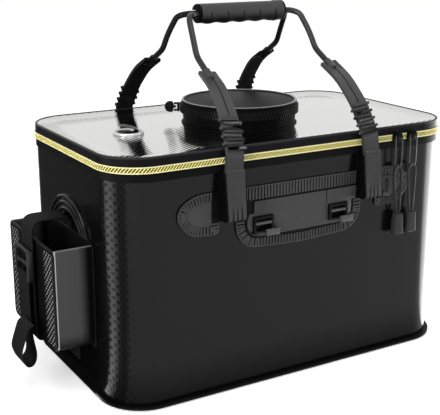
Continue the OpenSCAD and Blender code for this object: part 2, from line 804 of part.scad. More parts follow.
module front_rod() {
    color([0.28, 0.28, 0.28]) tube(rod_path, rod_r);
}

module rear_rod() {
    color([0.24, 0.24, 0.24]) mirror([0, 1, 0]) tube(rod_path, rod_r);
}

// Split grip: it holds the front rod, and the rear rod lies in its mouth
module grip() {
    mouth = rod_r + 0.7;
    bump_r = grip_r + 1.5;
    pitch = grip_l / 5.4;
    color([0.30, 0.30, 0.30]) translate([0, 0, grip_z]) difference() {
        union() {
            rotate([0, 90, 0]) cylinder(h = grip_l, r = grip_r, center = true);
            for (i = [-2:2]) translate([i * pitch, 0, 0]) intersection() {
                rotate([90, 0, 0]) cylinder(h = grip_r, r = bump_r, center = true);
                translate([0, 0, -grip_r]) cube([2 * grip_r, 2 * grip_r, 2 * grip_r], center = true);
            }
            translate([grip_l / 2 - 14, 0, 0]) rotate([0, 90, 0]) cylinder(h = 14, r = grip_r + 0.8);
        }
        translate([-grip_l, -rod_y, 0]) rotate([0, 90, 0]) cylinder(h = 2 * grip_l, r = rod_r + 0.05);
        translate([-grip_l, -rod_y, -mouth]) cube([2 * grip_l, 3 * grip_r, 2 * mouth]);
    }
}

// ---------- zip sliders and pulls ----------

module slider(x) {
    translate([x, -wall_y - bead_out - 0.35, zip_z]) difference() {
        union() {
            translate([-slider_w / 2, -3, -zip_h / 2 - 2]) cube([slider_w, 3, zip_h + 4]);
            translate([-eye_w / 2, -8, zip_h / 2 - 4]) cube([eye_w, 5.5, 6]);
        }
        translate([-20, -6, zip_h / 2 - 1]) rotate([0, 90, 0]) cylinder(h = 40, d = 2.6, $fn = 24);
    }
}

eye_w = slider_w - 5;
eye_y = -wall_y - bead_out - 6.35;
eye_z = zip_z + zip_h / 2 - 1;

// Wire stirrup that hangs in the slider's two eyes
module stirrup(x) {
    r = 1.1;
    half = eye_w / 2 + 0.4 + r;
    translate([x, eye_y, eye_z]) {
        rotate([0, 90, 0]) cylinder(h = 2 * half, r = r, center = true, $fn = 24);
        for (e = [-1, 1]) translate([e * half, 0, 0]) sphere(r, $fn = 24);
        for (e = [-1, 1]) translate([e * half, 0, -stirrup_l + half]) cylinder(h = stirrup_l - half, r = r, $fn = 24);
        translate([0, 0, -stirrup_l + half]) rotate([-90, 0, 0])
            rotate_extrude(angle = 180) translate([half, 0]) circle(r, $fn = 24);
    }
}

// Doubled cord through the stirrup, and the rubber tag moulded on its ends
module pull(x) {
    z0 = eye_z - stirrup_l;
    cord = 1.5;
    loop = 2.8;
    translate([x, eye_y, 0]) {
        for (e = [-1, 1]) translate([0, e * loop, z0 - pull_cord_l]) cylinder(h = pull_cord_l, r = cord, $fn = 24);
        translate([0, 0, z0]) rotate([90, 0, 90])
            rotate_extrude(angle = 180) translate([loop, 0]) circle(cord, $fn = 24);
        translate([0, 0, z0 - pull_cord_l - tag_l / 2]) rotate([90, 0, 0])
            linear_extrude(2 * (loop + cord), center = true) {
                square([17, tag_l], center = true);
                translate([0, -2]) square([19, tag_l - 4], center = true);
            }
    }
}

module slider_inner() {
    color([0.10, 0.10, 0.10]) slider(slider_x1);
}

module slider_outer() {
    color([0.10, 0.10, 0.10]) slider(slider_x2);
}

module stirrup_inner() {
    color([0.30, 0.30, 0.30]) stirrup(slider_x1);
}

module stirrup_outer() {
    color([0.30, 0.30, 0.30]) stirrup(slider_x2);
}

module pull_inner() {
    color([0.20, 0.20, 0.20]) pull(slider_x1);
}

module pull_outer() {
    color([0.20, 0.20, 0.20]) pull(slider_x2);
}

// ---------- pump pocket ----------

pocket_top = pocket_z + pocket_h;
flange_t = 3;
pocket_x = -wall_x - flange_t;
outer_x = -wall_x - pocket_d;
board_z = pocket_top - 22;
board_t = 2;

// Plan rectangle with round corners, drawn in (y, z) on the side wall
module wall_sheet(x, t, w, z0, z1, r) {
    translate([x, 0, 0]) rotate([90, 0, -90]) linear_extrude(t) {
        translate([-w / 2 + r, z0]) square([w - 2 * r, z1 - z0]);
        translate([-w / 2, z0 + r]) square([w, z1 - z0 - 2 * r]);
        for (y = [-1, 1], z = [z0 + r, z1 - r]) translate([y * (w / 2 - r), z]) circle(r);
    }
}

module pocket_flange() {
    color([0.10, 0.10, 0.10])
        wall_sheet(-wall_x, flange_t, pocket_w + 6, pocket_z - 4, pocket_top + 3, 9);
}

// U-shaped trough: two smooth sides and a rounded bottom, open at the top
module pocket_box() {
    r = 8;
    color([0.32, 0.32, 0.32]) difference() {
        wall_sheet(pocket_x, pocket_d - flange_t - 1.5, pocket_w, pocket_z, pocket_top + 20, r);
        wall_sheet(pocket_x + 1, pocket_d, pocket_w - 2 * pocket_t, pocket_z + pocket_t, pocket_top + 30, r - pocket_t);
        translate([outer_x - 5, -pocket_w, pocket_top]) cube([pocket_d * 2, pocket_w * 2, 60]);
    }
}

module pocket_mesh() {
    color([0.06, 0.06, 0.06]) difference() {
        wall_sheet(outer_x + 1.5, 1.5, pocket_w, pocket_z, pocket_top + 20, 8);
        translate([outer_x - 5, -pocket_w, pocket_top]) cube([pocket_d, pocket_w * 2, 60]);
    }
}

// Round backboard with three concentric ridges
module backboard() {
    color([0.08, 0.08, 0.08]) intersection() {
        translate([-wall_x, 0, board_z]) rotate([0, -90, 0]) rotate_extrude($fn = 96) polygon(concat(
            [[0, 0], [board_r, 0], [board_r, 1]],
            [for (c = [board_r - 2.5, board_r - 10, board_r - 18], a = [0:30:180])
                [c + 2.5 * cos(a), board_t + 2 * sin(a)]],
            [[0, board_t]]));
        translate([-wall_x - 20, -pocket_w, pocket_top + 3]) cube([20, pocket_w * 2, 60]);
    }
}

// Webbing paths in (x, z): over the pocket and down its outer face
strap_x = outer_x - 4.4;
strap_top = pocket_top + 21.5;
buckle_z = pocket_top - 33;

module webbing(path) {
    rotate([90, 0, 0]) linear_extrude(webbing_w, center = true)
        polygon(strip(smooth_path(path), -webbing_t / 2, webbing_t / 2));
}

module pocket_strap() {
    inner_x = -wall_x - 2 * board_t - webbing_t / 2;
    color([0.06, 0.06, 0.06]) webbing([
        [inner_x, pocket_top + 6, 0],
        [inner_x, strap_top, 5], [strap_x + 1, strap_top, 12],
        [strap_x, pocket_z - 3, 6], [-wall_x - webbing_t / 2, pocket_z - 10, 5],
        [-wall_x - webbing_t / 2, pocket_z - 42, 0]]);
}

module strap_tail() {
    x = strap_x - 7;
    color([0.06, 0.06, 0.06]) webbing([
        [x, buckle_z + 8, 0], [x, pocket_z + 30, 60], [x + 3, pocket_z - 14, 14],
        [x - 14, pocket_z - 42, 9], [x - 32, pocket_z - 8, 18], [x - 12, pocket_z + 24, 8], [x - 3.5, pocket_z + 27, 0]]);
}

// Ladder buckle: a frame with cross bars between the two layers of webbing
module strap_buckle() {
    w = webbing_w + 8;
    h = 38;
    color([0.10, 0.10, 0.10]) translate([strap_x - webbing_t / 2 - 0.3, 0, buckle_z]) {
        for (y = [-w / 2, w / 2 - 3.4]) translate([-8, y, -h / 2]) cube([8, 3.4, h]);
        for (z = [-h / 2, -2.5, h / 2 - 5]) translate([-4.8, -w / 2, z]) cube([4.8, w, 5]);
    }
}

// ---------- rear copies ----------

module rear_pad() {
    color([0.20, 0.20, 0.20]) mirror([0, 1, 0]) on_front(0, pad_t) pad_plan();
}

module rear_pad_ribs() {
    color([0.24, 0.24, 0.24]) mirror([0, 1, 0]) pad_ribs();
}

module rear_plate() {
    color([0.27, 0.27, 0.27]) mirror([0, 1, 0]) plate();
}

module rear_clips() {
    color([0.12, 0.12, 0.12]) mirror([0, 1, 0]) clips();
}

module rear_brackets() {
    color([0.10, 0.10, 0.10]) mirror([0, 1, 0]) brackets();
}

body_shell();
base_welt();
body_lip();
body_zip_tape();
body_zip_cord();
body_zip_teeth();
hinge_strip_lower();
lid_rim();
lid_panel();
lid_piping();
lid_zip_tape();
lid_zip_cord();
lid_zip_teeth();
hinge_strip_upper();
port_collar();
port_zip_lower();
port_hinge_lower();
port_zip_upper();
port_hinge_upper();
port_skirt();
port_cover();
port_piping();
port_slider();
port_pull();
hose_ring();
hose_gasket();
hose_flap();
front_pad();
rear_pad();
front_pad_ribs();
rear_pad_ribs();
front_plate();
rear_plate();
front_clips();
rear_clips();
front_brackets();
rear_brackets();
hinge_pins();
bracket_rivets();
front_leg_left();
front_leg_right();
rear_leg_left();
rear_leg_right();
front_rod();
rear_rod();
grip();
slider_inner();
slider_outer();
stirrup_inner();
stirrup_outer();
pull_inner();
pull_outer();
pocket_flange();
pocket_box();
pocket_mesh();
backboard();
pocket_strap();
strap_tail();
strap_buckle();
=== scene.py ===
# %% [markdown]
# # A bait bucket with a zipped lid
#
# The bucket is a welded box of thin, glossy sheet with a woven look. It has a zip round its rim, a
# round feeder port in the lid, two swinging handles that share one grip, and a strapped pocket for
# the air pump. The sizes and joints come from the imported frame, so this lesson only adds surfaces
# and finishes. First the frame is loaded.

# %% load the frame
import math

import bmesh
import bpy
import numpy as np
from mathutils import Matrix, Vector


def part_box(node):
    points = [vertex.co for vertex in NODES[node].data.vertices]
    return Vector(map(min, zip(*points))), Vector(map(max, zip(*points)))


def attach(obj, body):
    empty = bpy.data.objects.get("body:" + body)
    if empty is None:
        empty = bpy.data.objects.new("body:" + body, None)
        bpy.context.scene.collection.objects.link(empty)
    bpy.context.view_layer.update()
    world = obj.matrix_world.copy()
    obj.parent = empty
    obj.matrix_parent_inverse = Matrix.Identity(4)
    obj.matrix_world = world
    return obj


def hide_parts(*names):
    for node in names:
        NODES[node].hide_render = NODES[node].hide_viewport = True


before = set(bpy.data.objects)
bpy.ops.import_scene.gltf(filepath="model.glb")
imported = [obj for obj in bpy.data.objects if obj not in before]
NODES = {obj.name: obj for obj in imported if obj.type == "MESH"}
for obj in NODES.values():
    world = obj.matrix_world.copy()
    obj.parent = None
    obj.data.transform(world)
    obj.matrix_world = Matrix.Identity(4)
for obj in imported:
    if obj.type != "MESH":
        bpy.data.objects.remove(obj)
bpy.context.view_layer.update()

MM = 0.001

# %% [markdown]
# ## Shared sizes
#
# The wall's outline, its height and the zip that runs round it are needed by finishes and by
# pieces alike. They repeat the frame's own sizes, in millimetres, or in metres where they are
# multiplied by MM. A tooth's step is the length of the outline shared by the teeth, and its
# lean is one step over the height of both rows. Small helpers for points come along.

# %% shared sizes
BODY_L, BODY_W, BODY_R = 494.0, 289.0, 51.0
WALL_H, WALL_T = 286.0, 3.0
TEETH = 370
TOOTH_LOW, TOOTH_TOP = 292.75, 297.25
TOOTH_STEP = (2 * (BODY_L + BODY_W - 4 * BODY_R) + 2 * math.pi * BODY_R) * MM / TEETH
TOOTH_LEAN = TOOTH_STEP / MM / (TOOTH_TOP - TOOTH_LOW)
NET_STEP, NET_EDGE = 3.82 * MM, 4.5
RING_AT = (-163.0, 0.0)
HOOK_SIDE = 127 * MM


def grey(level):
    """A colour with the same level of red, green and blue."""
    return (level, level, level)


def scene_object(name, data):
    """A new object for some data, linked into the scene."""
    made = bpy.data.objects.new(name, data)
    bpy.context.scene.collection.objects.link(made)
    return made


def circle(angle):
    """Points of the unit circle: the cosine and the sine of each angle."""
    return np.stack([np.cos(angle), np.sin(angle)], -1)


def full_turn(steps):
    """Even angles once round, without the last one, which would repeat the first."""
    return np.linspace(0, 2 * math.pi, steps, endpoint=False)


def run_along(path):
    """Distance from the path's start at each of its points."""
    return np.concatenate([[0], np.cumsum(np.linalg.norm(np.diff(path, axis=0), axis=1))])


def ring(x, y, z):
    """Points from three columns, any of which may be one number for all of them."""
    return np.stack(np.broadcast_arrays(x, y, z), -1)


print("plan:", BODY_L, "by", BODY_W, "mm, with", TEETH, "teeth in a row")

# %% [markdown]
# ## Camera
#
# A product picture is taken with a long lens from a little above. The camera's place, its two
# angles and its lens were worked out from the corners of the box in the picture, so a line of
# the model falls on the same line in the render.

# %% camera
CAMERA_AT = (-0.66205, -1.07633, 0.55213)
CAMERA_AZIMUTH = -30.444
CAMERA_ELEVATION = 16.183
LENS_MM = 78.29
SENSOR_MM = 36.0


def add_camera():
    """A camera that is turned by its azimuth and tipped down by its elevation, but not rolled."""
    data = bpy.data.cameras.new("camera")
    data.sensor_fit = "HORIZONTAL"
    data.sensor_width = SENSOR_MM
    data.lens = LENS_MM
    camera = scene_object("camera", data)
    camera.location = CAMERA_AT
    camera.rotation_euler = (math.radians(90 - CAMERA_ELEVATION), 0, math.radians(CAMERA_AZIMUTH))
    bpy.context.scene.camera = camera


add_camera()
bpy.context.scene.view_settings.view_transform = "Standard"
print("camera: lens", LENS_MM, "mm")

# %% [markdown]
# ## Wiring for materials
#
# Each finish is a small network of nodes. A tiny class keeps the wiring short: it makes a
# node, sets what is plain and joins what is linked. The patterns here are worked out from
# coordinates, so no picture file is needed and every pattern has a true size in metres.


# %% wiring helper
class Finish:
    """A material with a Principled shader, and short calls that add and join nodes."""

    def __init__(self, name, colour, roughness, ior=1.45, metallic=0.0, specular=0.5):
        self.material = bpy.data.materials.new(name)
        self.material.use_nodes = True
        self.tree = self.material.node_tree
        self.shader = self.tree.nodes["Principled BSDF"]
        self.set(self.shader, "Base Color", (*colour, 1.0))
        self.set(self.shader, "Roughness", roughness)
        self.set(self.shader, "IOR", ior)
        self.set(self.shader, "Metallic", metallic)
        self.set(self.shader, "Specular IOR Level", specular)

    def set(self, node, socket, value):
        """Joins an output to the input, or sets the input to a plain value."""
        if isinstance(value, bpy.types.NodeSocket):
            self.tree.links.new(value, node.inputs[socket])
        else:
            node.inputs[socket].default_value = value

    def add(self, kind, inputs, **settings):
        """A node of one kind, with its settings made and its inputs joined or set."""
        node = self.tree.nodes.new(kind)
        for key, value in settings.items():
            setattr(node, key, value)
        for socket, value in inputs.items():
            self.set(node, socket, value)
        return node

    def math(self, operation, first, second=0.0):
        """One arithmetic step on one or two values."""
        return self.add("ShaderNodeMath", {0: first, 1: second}, operation=operation).outputs[0]

    def place(self, source="Object"):
        """The x, y and z of a point, in metres, or its UV."""
        coordinates = self.tree.nodes.new("ShaderNodeTexCoord")
        parts = self.add("ShaderNodeSeparateXYZ", {0: coordinates.outputs[source]})
        return coordinates.outputs[source], parts.outputs

    def noise(self, vector, scale, detail=3.0):
        """Soft noise from 0 to 1, with scale lumps in a metre."""
        inputs = {"Vector": vector, "Scale": scale, "Detail": detail}
        return self.add("ShaderNodeTexNoise", inputs).outputs["Fac"]

    def ramp(self, factor, low, high, from_low=0.0, from_high=1.0):
        """Spreads a factor from one range over another."""
        inputs = {"Value": factor, "From Min": from_low, "From Max": from_high,
                  "To Min": low, "To Max": high}
        return self.add("ShaderNodeMapRange", inputs).outputs[0]

    def tint(self, factor, first, second):
        """Mixes two colours by a factor."""
        mix = self.add("ShaderNodeMix", {0: factor}, data_type="RGBA")
        self.set(mix, 6, (*first, 1.0))
        self.set(mix, 7, (*second, 1.0))
        return mix.outputs[2]

    def wave(self, value, pitch):
        """A sine from 0 to 1 that repeats once a pitch."""
        turn = self.math("SINE", self.math("MULTIPLY", value, 2 * math.pi / pitch))
        inputs = {0: turn, 1: 0.5, 2: 0.5}
        return self.add("ShaderNodeMath", inputs, operation="MULTIPLY_ADD").outputs[0]

    def inside(self, value, low, high):
        """1 where a value lies between two limits, and 0 elsewhere."""
        over = self.math("GREATER_THAN", value, low)
        return self.math("MULTIPLY", over, self.math("LESS_THAN", value, high))

    def bump(self, height, depth, strength=1.0):
        """Tilts the surface as if it rose by depth metres where the height is 1."""
        inputs = {"Height": height, "Distance": depth, "Strength": strength}
        self.set(self.shader, "Normal", self.add("ShaderNodeBump", inputs).outputs[0])

    def grain(self, vector, scale, depth):
        """Fine noise in the bump at half strength, with its depth in millimetres."""
        self.bump(self.noise(vector, scale, 2.0), depth * MM, 0.5)

    def two_tone(self, factor, low, high, shine=None):
        """Colour from low to high by a factor; shine gives the specular level at both."""
        self.set(self.shader, "Base Color", self.tint(factor, low, high))
        if shine:
            self.set(self.shader, "Specular IOR Level", self.ramp(factor, *shine))


print("wiring: ready")

# %% [markdown]
# ## Floor, backdrop and light
#
# The picture is a cut-out on white. A white floor that runs into a white world gives that, and
# keeps a soft shadow under the bucket. The world looks white to the camera and in reflections,
# and lights the object a little less, so that three broad lamps can shape it.
#
# An upright glossy wall mirrors the floor, so the studio lays cards there: dark ones keep the
# left wall deep, and narrow bright ones draw a highlight down each rounded corner. Only
# reflections see the cards. Each is a wedge between two directions from a corner of the bucket,
# and a card that lies higher covers the ones below it.

# %% floor and light
FLOOR_HALF = 6.0
WORLD_LIGHT = 0.62


def add_floor():
    """A large square of nearly white floor, level with the bucket's underside."""
    mesh = bpy.data.meshes.new("floor")
    corners = FLOOR_HALF * np.array([[-1, -1, 0], [1, -1, 0], [1, 1, 0], [-1, 1, 0]], float)
    corners[:, 2] = -0.0002
    mesh.from_pydata(corners.tolist(), [], [(0, 1, 2, 3)])
    floor = scene_object("floor", mesh)
    paper = Finish("paper", grey(0.93), 0.9, specular=0.0)
    path = paper.tree.nodes.new("ShaderNodeLightPath")
    seen = paper.math("MAXIMUM", path.outputs["Is Camera Ray"], path.outputs["Is Glossy Ray"])
    paper.set(paper.shader, "Emission Color", (1.0, 1.0, 1.0, 1.0))
    paper.set(paper.shader, "Emission Strength", paper.math("MULTIPLY", seen, 0.42))
    mesh.materials.append(paper.material)


def add_world():
    """White where the camera, a reflection or glass sees it, and a little darker as a light."""
    world = bpy.data.worlds.new("world")
    bpy.context.scene.world = world
    world.use_nodes = True
    tree = world.node_tree
    sky = tree.nodes["Background"]
    path = tree.nodes.new("ShaderNodeLightPath")
    seen = path.outputs["Is Camera Ray"]
    for ray in ("Is Glossy Ray", "Is Transmission Ray"):
        either = tree.nodes.new("ShaderNodeMath")
        either.operation = "MAXIMUM"
        tree.links.new(seen, either.inputs[0])
        tree.links.new(path.outputs[ray], either.inputs[1])
        seen = either.outputs[0]
    strength = tree.nodes.new("ShaderNodeMapRange")
    strength.inputs["To Min"].default_value = WORLD_LIGHT
    strength.inputs["To Max"].default_value = 1.0
    tree.links.new(seen, strength.inputs["Value"])
    sky.inputs["Color"].default_value = (1.0, 1.0, 1.0, 1.0)
    tree.links.new(strength.outputs[0], sky.inputs["Strength"])


def add_card(name, corner, first, last, strength, height, reach=3.0):
    """A floor wedge from a corner between two compass angles, seen only in reflections."""
    angles = np.radians(np.linspace(first, last, 7))
    far = np.array(corner) + reach * np.stack([np.sin(angles), -np.cos(angles)], -1)
    corners = [(x, y, height) for x, y in [corner, *far.tolist()]]
    mesh = bpy.data.meshes.new(name)
    mesh.from_pydata(corners, [], [tuple(range(len(corners)))])
    card = scene_object(name, mesh)
    paint = Finish(name, grey(0.0), 1.0, specular=0.0)
    paint.set(paint.shader, "Emission Color", (1.0, 1.0, 1.0, 1.0))
    paint.set(paint.shader, "Emission Strength", strength)
    mesh.materials.append(paint.material)
    card.visible_camera = card.visible_diffuse = card.visible_shadow = False
    card.visible_transmission = card.visible_volume_scatter = False


def add_lamp(name, place, aim, width, height, power):
    """An area lamp at a place, turned to face its aim."""
    data = bpy.data.lights.new(name, "AREA")
    data.shape = "RECTANGLE"
    data.size = width
    data.size_y = height
    data.energy = power
    lamp = scene_object(name, data)
    away = np.array(place, float) - np.array(aim, float)
    flat = math.hypot(away[0], away[1])
    lamp.location = place
    lamp.rotation_euler = (math.atan2(flat, away[2]), 0, math.atan2(away[0], -away[1]))


add_floor()
add_world()
FRONT_LEFT, FRONT_RIGHT = (-0.196, -0.0935), (0.196, -0.0935)
add_card("flag_left", FRONT_LEFT, -180, -121, 0.11, 0.0004)
add_card("flag_front_left", FRONT_LEFT, -84, -58, 0.4, 0.0005)
add_card("strip_left_soft", FRONT_LEFT, -123, -84, 2.4, 0.00055)
add_card("strip_left", FRONT_LEFT, -117, -93, 4.8, 0.0006)
add_card("flag_left_low", FRONT_LEFT, -180, -110, 0.0, 0.0007, reach=0.45)
add_card("strip_right", FRONT_RIGHT, 60, 136, 9.0, 0.0006)
add_lamp("softbox_left", (-2.6, -1.1, 0.9), (-0.2, -0.1, 0.15), 0.5, 2.2, 55.0)
add_lamp("softbox_top", (-0.3, -0.9, 2.3), (0.0, 0.0, 0.2), 1.6, 1.2, 20.0)
add_lamp("softbox_right", (2.3, -0.8, 1.1), (0.2, -0.1, 0.2), 0.6, 1.8, 18.0)
print("light: world, 3 lamps and 6 cards")

# %% [markdown]
# ## Finishes
#
# The sheet of the body carries a woven carbon look: a lattice of small diamonds, printed under
# a clear coat. It only shows where light rakes along a corner, so the lattice goes into the
# bump and the gloss and not into the colour, and fades out on the flat walls. The pattern
# follows the sheet, so it reads a UV map that is measured in metres round the wall.

# %% sheet finishes
WEAVE_PITCH = 10.0 * MM
TWILL_PITCH = 6.4 * MM
CORNER_X, CORNER_Y = (0.221, 0.234), (0.088, 0.105)


def carbon_sheet():
    """Dark coated sheet: two crossed waves make diamonds, which dent and dull the surface. The
    gloss also fades towards the bottom of the wall, as painted shade.
    """
    sheet = Finish("carbon_sheet", grey(0.002), 0.2, ior=1.26)
    _, uv = sheet.place("UV")
    _, at = sheet.place()
    across = sheet.ramp(sheet.math("ABSOLUTE", at["X"]), 0.0, 1.0, *CORNER_X)
    along = sheet.ramp(sheet.math("ABSOLUTE", at["Y"]), 0.0, 1.0, *CORNER_Y)
    corner = sheet.math("MULTIPLY", across, along)
    first = sheet.wave(sheet.math("ADD", uv["X"], uv["Y"]), WEAVE_PITCH)
    second = sheet.wave(sheet.math("SUBTRACT", uv["X"], uv["Y"]), WEAVE_PITCH)
    lattice = sheet.math("MULTIPLY", first, second)
    raised = sheet.math("MULTIPLY", lattice, corner)
    sheet.bump(raised, 0.14 * MM)
    # Painted shade: the gloss drops over the lowest 55 mm, which darkens the reflection near the
    # floor.
    painted_shade_by_height = sheet.ramp(at["Z"], 0.3, 1.0, 0.004, 0.055)
    weave_gloss_and_painted_shade = sheet.math("MULTIPLY", sheet.ramp(raised, 0.5, 0.18), painted_shade_by_height)
    sheet.set(sheet.shader, "Specular IOR Level", weave_gloss_and_painted_shade)
    return sheet.material


def twill_sheet():
    """Glossy film over a twill: fine slanting ribs that catch the sky and cut up reflections."""
    film = Finish("twill_sheet", (0.62, 0.62, 0.61), 0.06, ior=1.6, metallic=1.0)
    vector, at = film.place()
    slant = film.math("SUBTRACT", at["Y"], film.math("MULTIPLY", at["X"], 0.588))
    ribs = film.wave(slant, TWILL_PITCH)
    patches = film.noise(vector, 9.0)
    film.two_tone(ribs, (0.59, 0.59, 0.575), (0.61, 0.61, 0.595))
    film.set(film.shader, "Roughness", film.ramp(patches, 0.05, 0.09))
    film.bump(ribs, 0.17 * MM)
    return film.material


print("sheets: weave", WEAVE_PITCH, "m, twill", TWILL_PITCH, "m")

# %% [markdown]
# ## Moulded plastic, rubber, cloth and metal
#
# Moulded nylon and vinyl share one recipe: a fine grain in the bump, a slow change of tone, and
# slightly uneven gloss. Only colour, gloss and grain size differ, so one function makes them
# all. Woven things get crossed ribs at the pitch of their yarn, and the metal ring gets fine
# turning marks.


# %% plain finishes
PATCHINESS = 0.12


def moulded(name, colour, roughness, grain=900.0, depth=0.03, specular=0.5):
    """Moulded plastic: fine grain in the bump, slow patches in the tone and the gloss."""
    skin = Finish(name, colour, roughness, specular=specular)
    vector, _ = skin.place()
    patches = skin.noise(vector, 14.0)
    light = tuple(c * (1 + PATCHINESS) for c in colour)
    dark = tuple(c * (1 - PATCHINESS) for c in colour)
    skin.two_tone(patches, dark, light)
    skin.set(skin.shader, "Roughness", skin.ramp(patches, roughness - 0.06, roughness + 0.06))
    skin.grain(vector, grain, depth)
    return skin.material


def woven(name, colour, pitch):
    """Plain weave on object coordinates: two waves, along X and Z, one for each set of yarns."""
    cloth = Finish(name, colour, 0.8, specular=0.25)
    _, at = cloth.place()
    across = cloth.wave(at["X"], pitch)
    along = cloth.wave(at["Z"], pitch)
    weave = cloth.math("MAXIMUM", across, along)
    cloth.two_tone(weave, tuple(c * 0.45 for c in colour), colour)
    cloth.bump(weave, 0.3 * MM, 0.7)
    return cloth.material


def webbing_cloth():
    """Ribbed webbing: its UV runs across and along the strap, in metres, and the ribs slant."""
    cloth = Finish("webbing_cloth", grey(0.005), 0.62, specular=0.08)
    _, uv = cloth.place("UV")
    rib = cloth.wave(uv["X"], 1.7 * MM)
    yarn = cloth.wave(cloth.math("ADD", uv["Y"], cloth.math("MULTIPLY", uv["X"], 0.5)), 2.4 * MM)
    weave = cloth.math("MULTIPLY", rib, yarn)
    cloth.two_tone(weave, grey(0.002), (0.011, 0.011, 0.0115))
    cloth.bump(weave, 0.35 * MM, 0.8)
    return cloth.material


def turned_metal():
    """Bright ring with fine turning marks: a wave of the distance from the port's own axis."""
    metal = Finish("turned_metal", (0.62, 0.62, 0.63), 0.34, metallic=0.8)
    vector, _ = metal.place()
    shift = {"Vector": vector, "Location": (-RING_AT[0] * MM, RING_AT[1], 0.0)}
    centre = metal.add("ShaderNodeMapping", shift).outputs[0]
    radius = metal.add("ShaderNodeVectorMath", {0: centre}, operation="LENGTH").outputs["Value"]
    marks = metal.wave(radius, 0.6 * MM)
    metal.set(metal.shader, "Roughness", metal.ramp(marks, 0.32, 0.42))
    return metal.material


def twisted_cord(name, colour, dark):
    """Edge cord of the zip: a wave that slants with the height gives it its twist."""
    cord = Finish(name, colour, 0.5, specular=0.4)
    _, at = cord.place()
    run = cord.math("ADD", at["X"], at["Y"])
    twist = cord.wave(cord.math("ADD", run, cord.math("MULTIPLY", at["Z"], 1.4)), 2.2 * MM)
    cord.two_tone(twist, dark, colour)
    cord.bump(twist, 0.15 * MM, 0.6)
    return cord.material


def tooth_plastic():
    """Gold teeth with dark gaps: a wave of the run round the plan, U, less the height's lean."""
    gold = Finish("zip_gold", (0.48, 0.43, 0.10), 0.35, specular=0.4)
    _, uv = gold.place("UV")
    _, at = gold.place()
    lean = gold.math("MULTIPLY", gold.math("SUBTRACT", at["Z"], TOOTH_LOW * MM), TOOTH_LEAN)
    gap = gold.wave(gold.math("SUBTRACT", uv["X"], lean), TOOTH_STEP)
    gold.two_tone(gold.ramp(gap, 0.0, 1.0, 0.44, 0.60), (0.008, 0.005, 0.0005), (0.80, 0.72, 0.21))
    return gold.material


print("plain finishes: ready")

# %% [markdown]
# ## Finishes that change with the place
#
# Some finishes paint light and shade by place: a pale crown is a painted highlight, a dark strip
# beside a hook is painted shade, and a grey middle marks each ear. The place decides, so each of
# these finishes reads the point's x, y and z and picks its tone by a limit or a ramp.

# %% finishes by place
PIPING_HIGHLIGHT_Z = 336.8 * MM
EAR_AT, EAR_HALF = (0.129, 0.2325), (0.038, 0.0160)
CLIP_X, CLIP_BAR_HALF, TONGUE_Y = 56.0 * MM, 11.2 * MM, 151.3 * MM
GRIP_LOWER_Z, GRIP_ENDS_X, BUMP_PITCH = 453.0 * MM, 61.5 * MM, 24.1 * MM


def rim_piping():
    """Piping with a painted highlight on its pale crown and painted shade on its black flanks,
    split by the height.
    """
    piping = Finish("rim_piping", (0.40, 0.40, 0.39), 0.3)
    _, at = piping.place()
    # Painted highlight: the crown above a fixed height is pale, and the flanks below it are black
    # as painted shade.
    crown = piping.math("GREATER_THAN", at["Z"], PIPING_HIGHLIGHT_Z)
    piping.two_tone(crown, grey(0.006), grey(0.20), shine=(0.05, 0.3))
    return piping.material


def pad_vinyl():
    """Black between the ribs, and grey on the smooth middle of each ear, an ellipse in X and Z,
    except in a strip of painted shade beside the hook, which stays black.
    """
    skin = Finish("pad_vinyl", grey(0.004), 0.42, specular=0.1)
    vector, at = skin.place()
    out = skin.math("ABSOLUTE", at["X"])
    wide = skin.math("DIVIDE", skin.math("SUBTRACT", out, EAR_AT[0]), EAR_HALF[0])
    tall = skin.math("DIVIDE", skin.math("SUBTRACT", at["Z"], EAR_AT[1]), EAR_HALF[1])
    reach = skin.math("ADD", skin.math("MULTIPLY", wide, wide), skin.math("MULTIPLY", tall, tall))
    # Painted shade: the ear stays black where it lies within HOOK_SIDE, beside the hook.
    clear = skin.math("GREATER_THAN", out, HOOK_SIDE)
    middle = skin.math("MULTIPLY", skin.math("LESS_THAN", reach, 1.0), clear)
    skin.two_tone(middle, grey(0.0035), grey(0.038), shine=(0.06, 0.2))
    skin.grain(vector, 900.0, 0.03)
    return skin.material


def pad_rib_vinyl():
    """Grey ribs, and black ones in the strip beside each hook, where the black is painted shade."""
    rib = Finish("pad_rib", grey(0.034), 0.45, specular=0.2)
    vector, at = rib.place()
    # Painted shade: the ribs in the strip beside each hook, above 221 mm, turn black.
    beside = rib.inside(rib.math("ABSOLUTE", at["X"]), 94 * MM, HOOK_SIDE)
    dark = rib.math("MULTIPLY", beside, rib.math("GREATER_THAN", at["Z"], 221 * MM))
    rib.two_tone(dark, grey(0.034), grey(0.003), shine=(0.2, 0.04))
    rib.grain(vector, 900.0, 0.03)
    return rib.material


def grip_rubber():
    """Grey rubber with painted shade that darkens it below, darker at its ends, with a thin groove
    across between two bumps.
    """
    skin = Finish("grip_rubber", (0.020, 0.020, 0.021), 0.42, specular=0.25)
    vector, at = skin.place()
    pitches = skin.wave(skin.math("ADD", at["X"], 6.0 * MM), BUMP_PITCH)
    groove = skin.math("GREATER_THAN", pitches, 0.993)
    lower = skin.math("LESS_THAN", at["Z"], GRIP_LOWER_Z)
    groove = skin.math("MULTIPLY", groove, lower)
    ends = skin.math("GREATER_THAN", skin.math("ABSOLUTE", at["X"]), GRIP_ENDS_X)
    # Painted shade: the grip darkens and loses its gloss from 452 mm down to 443 mm.
    painted_shade_by_height = skin.ramp(at["Z"], 0.12, 1.0, 443.0 * MM, 452.0 * MM)
    painted_shade_and_grooves = skin.math("SUBTRACT", painted_shade_by_height, skin.math("MAXIMUM", groove, ends))
    skin.two_tone(painted_shade_and_grooves, grey(0.002), (0.034, 0.034, 0.035), shine=(0.03, 0.25))
    skin.grain(vector, 500.0, 0.08)
    return skin.material


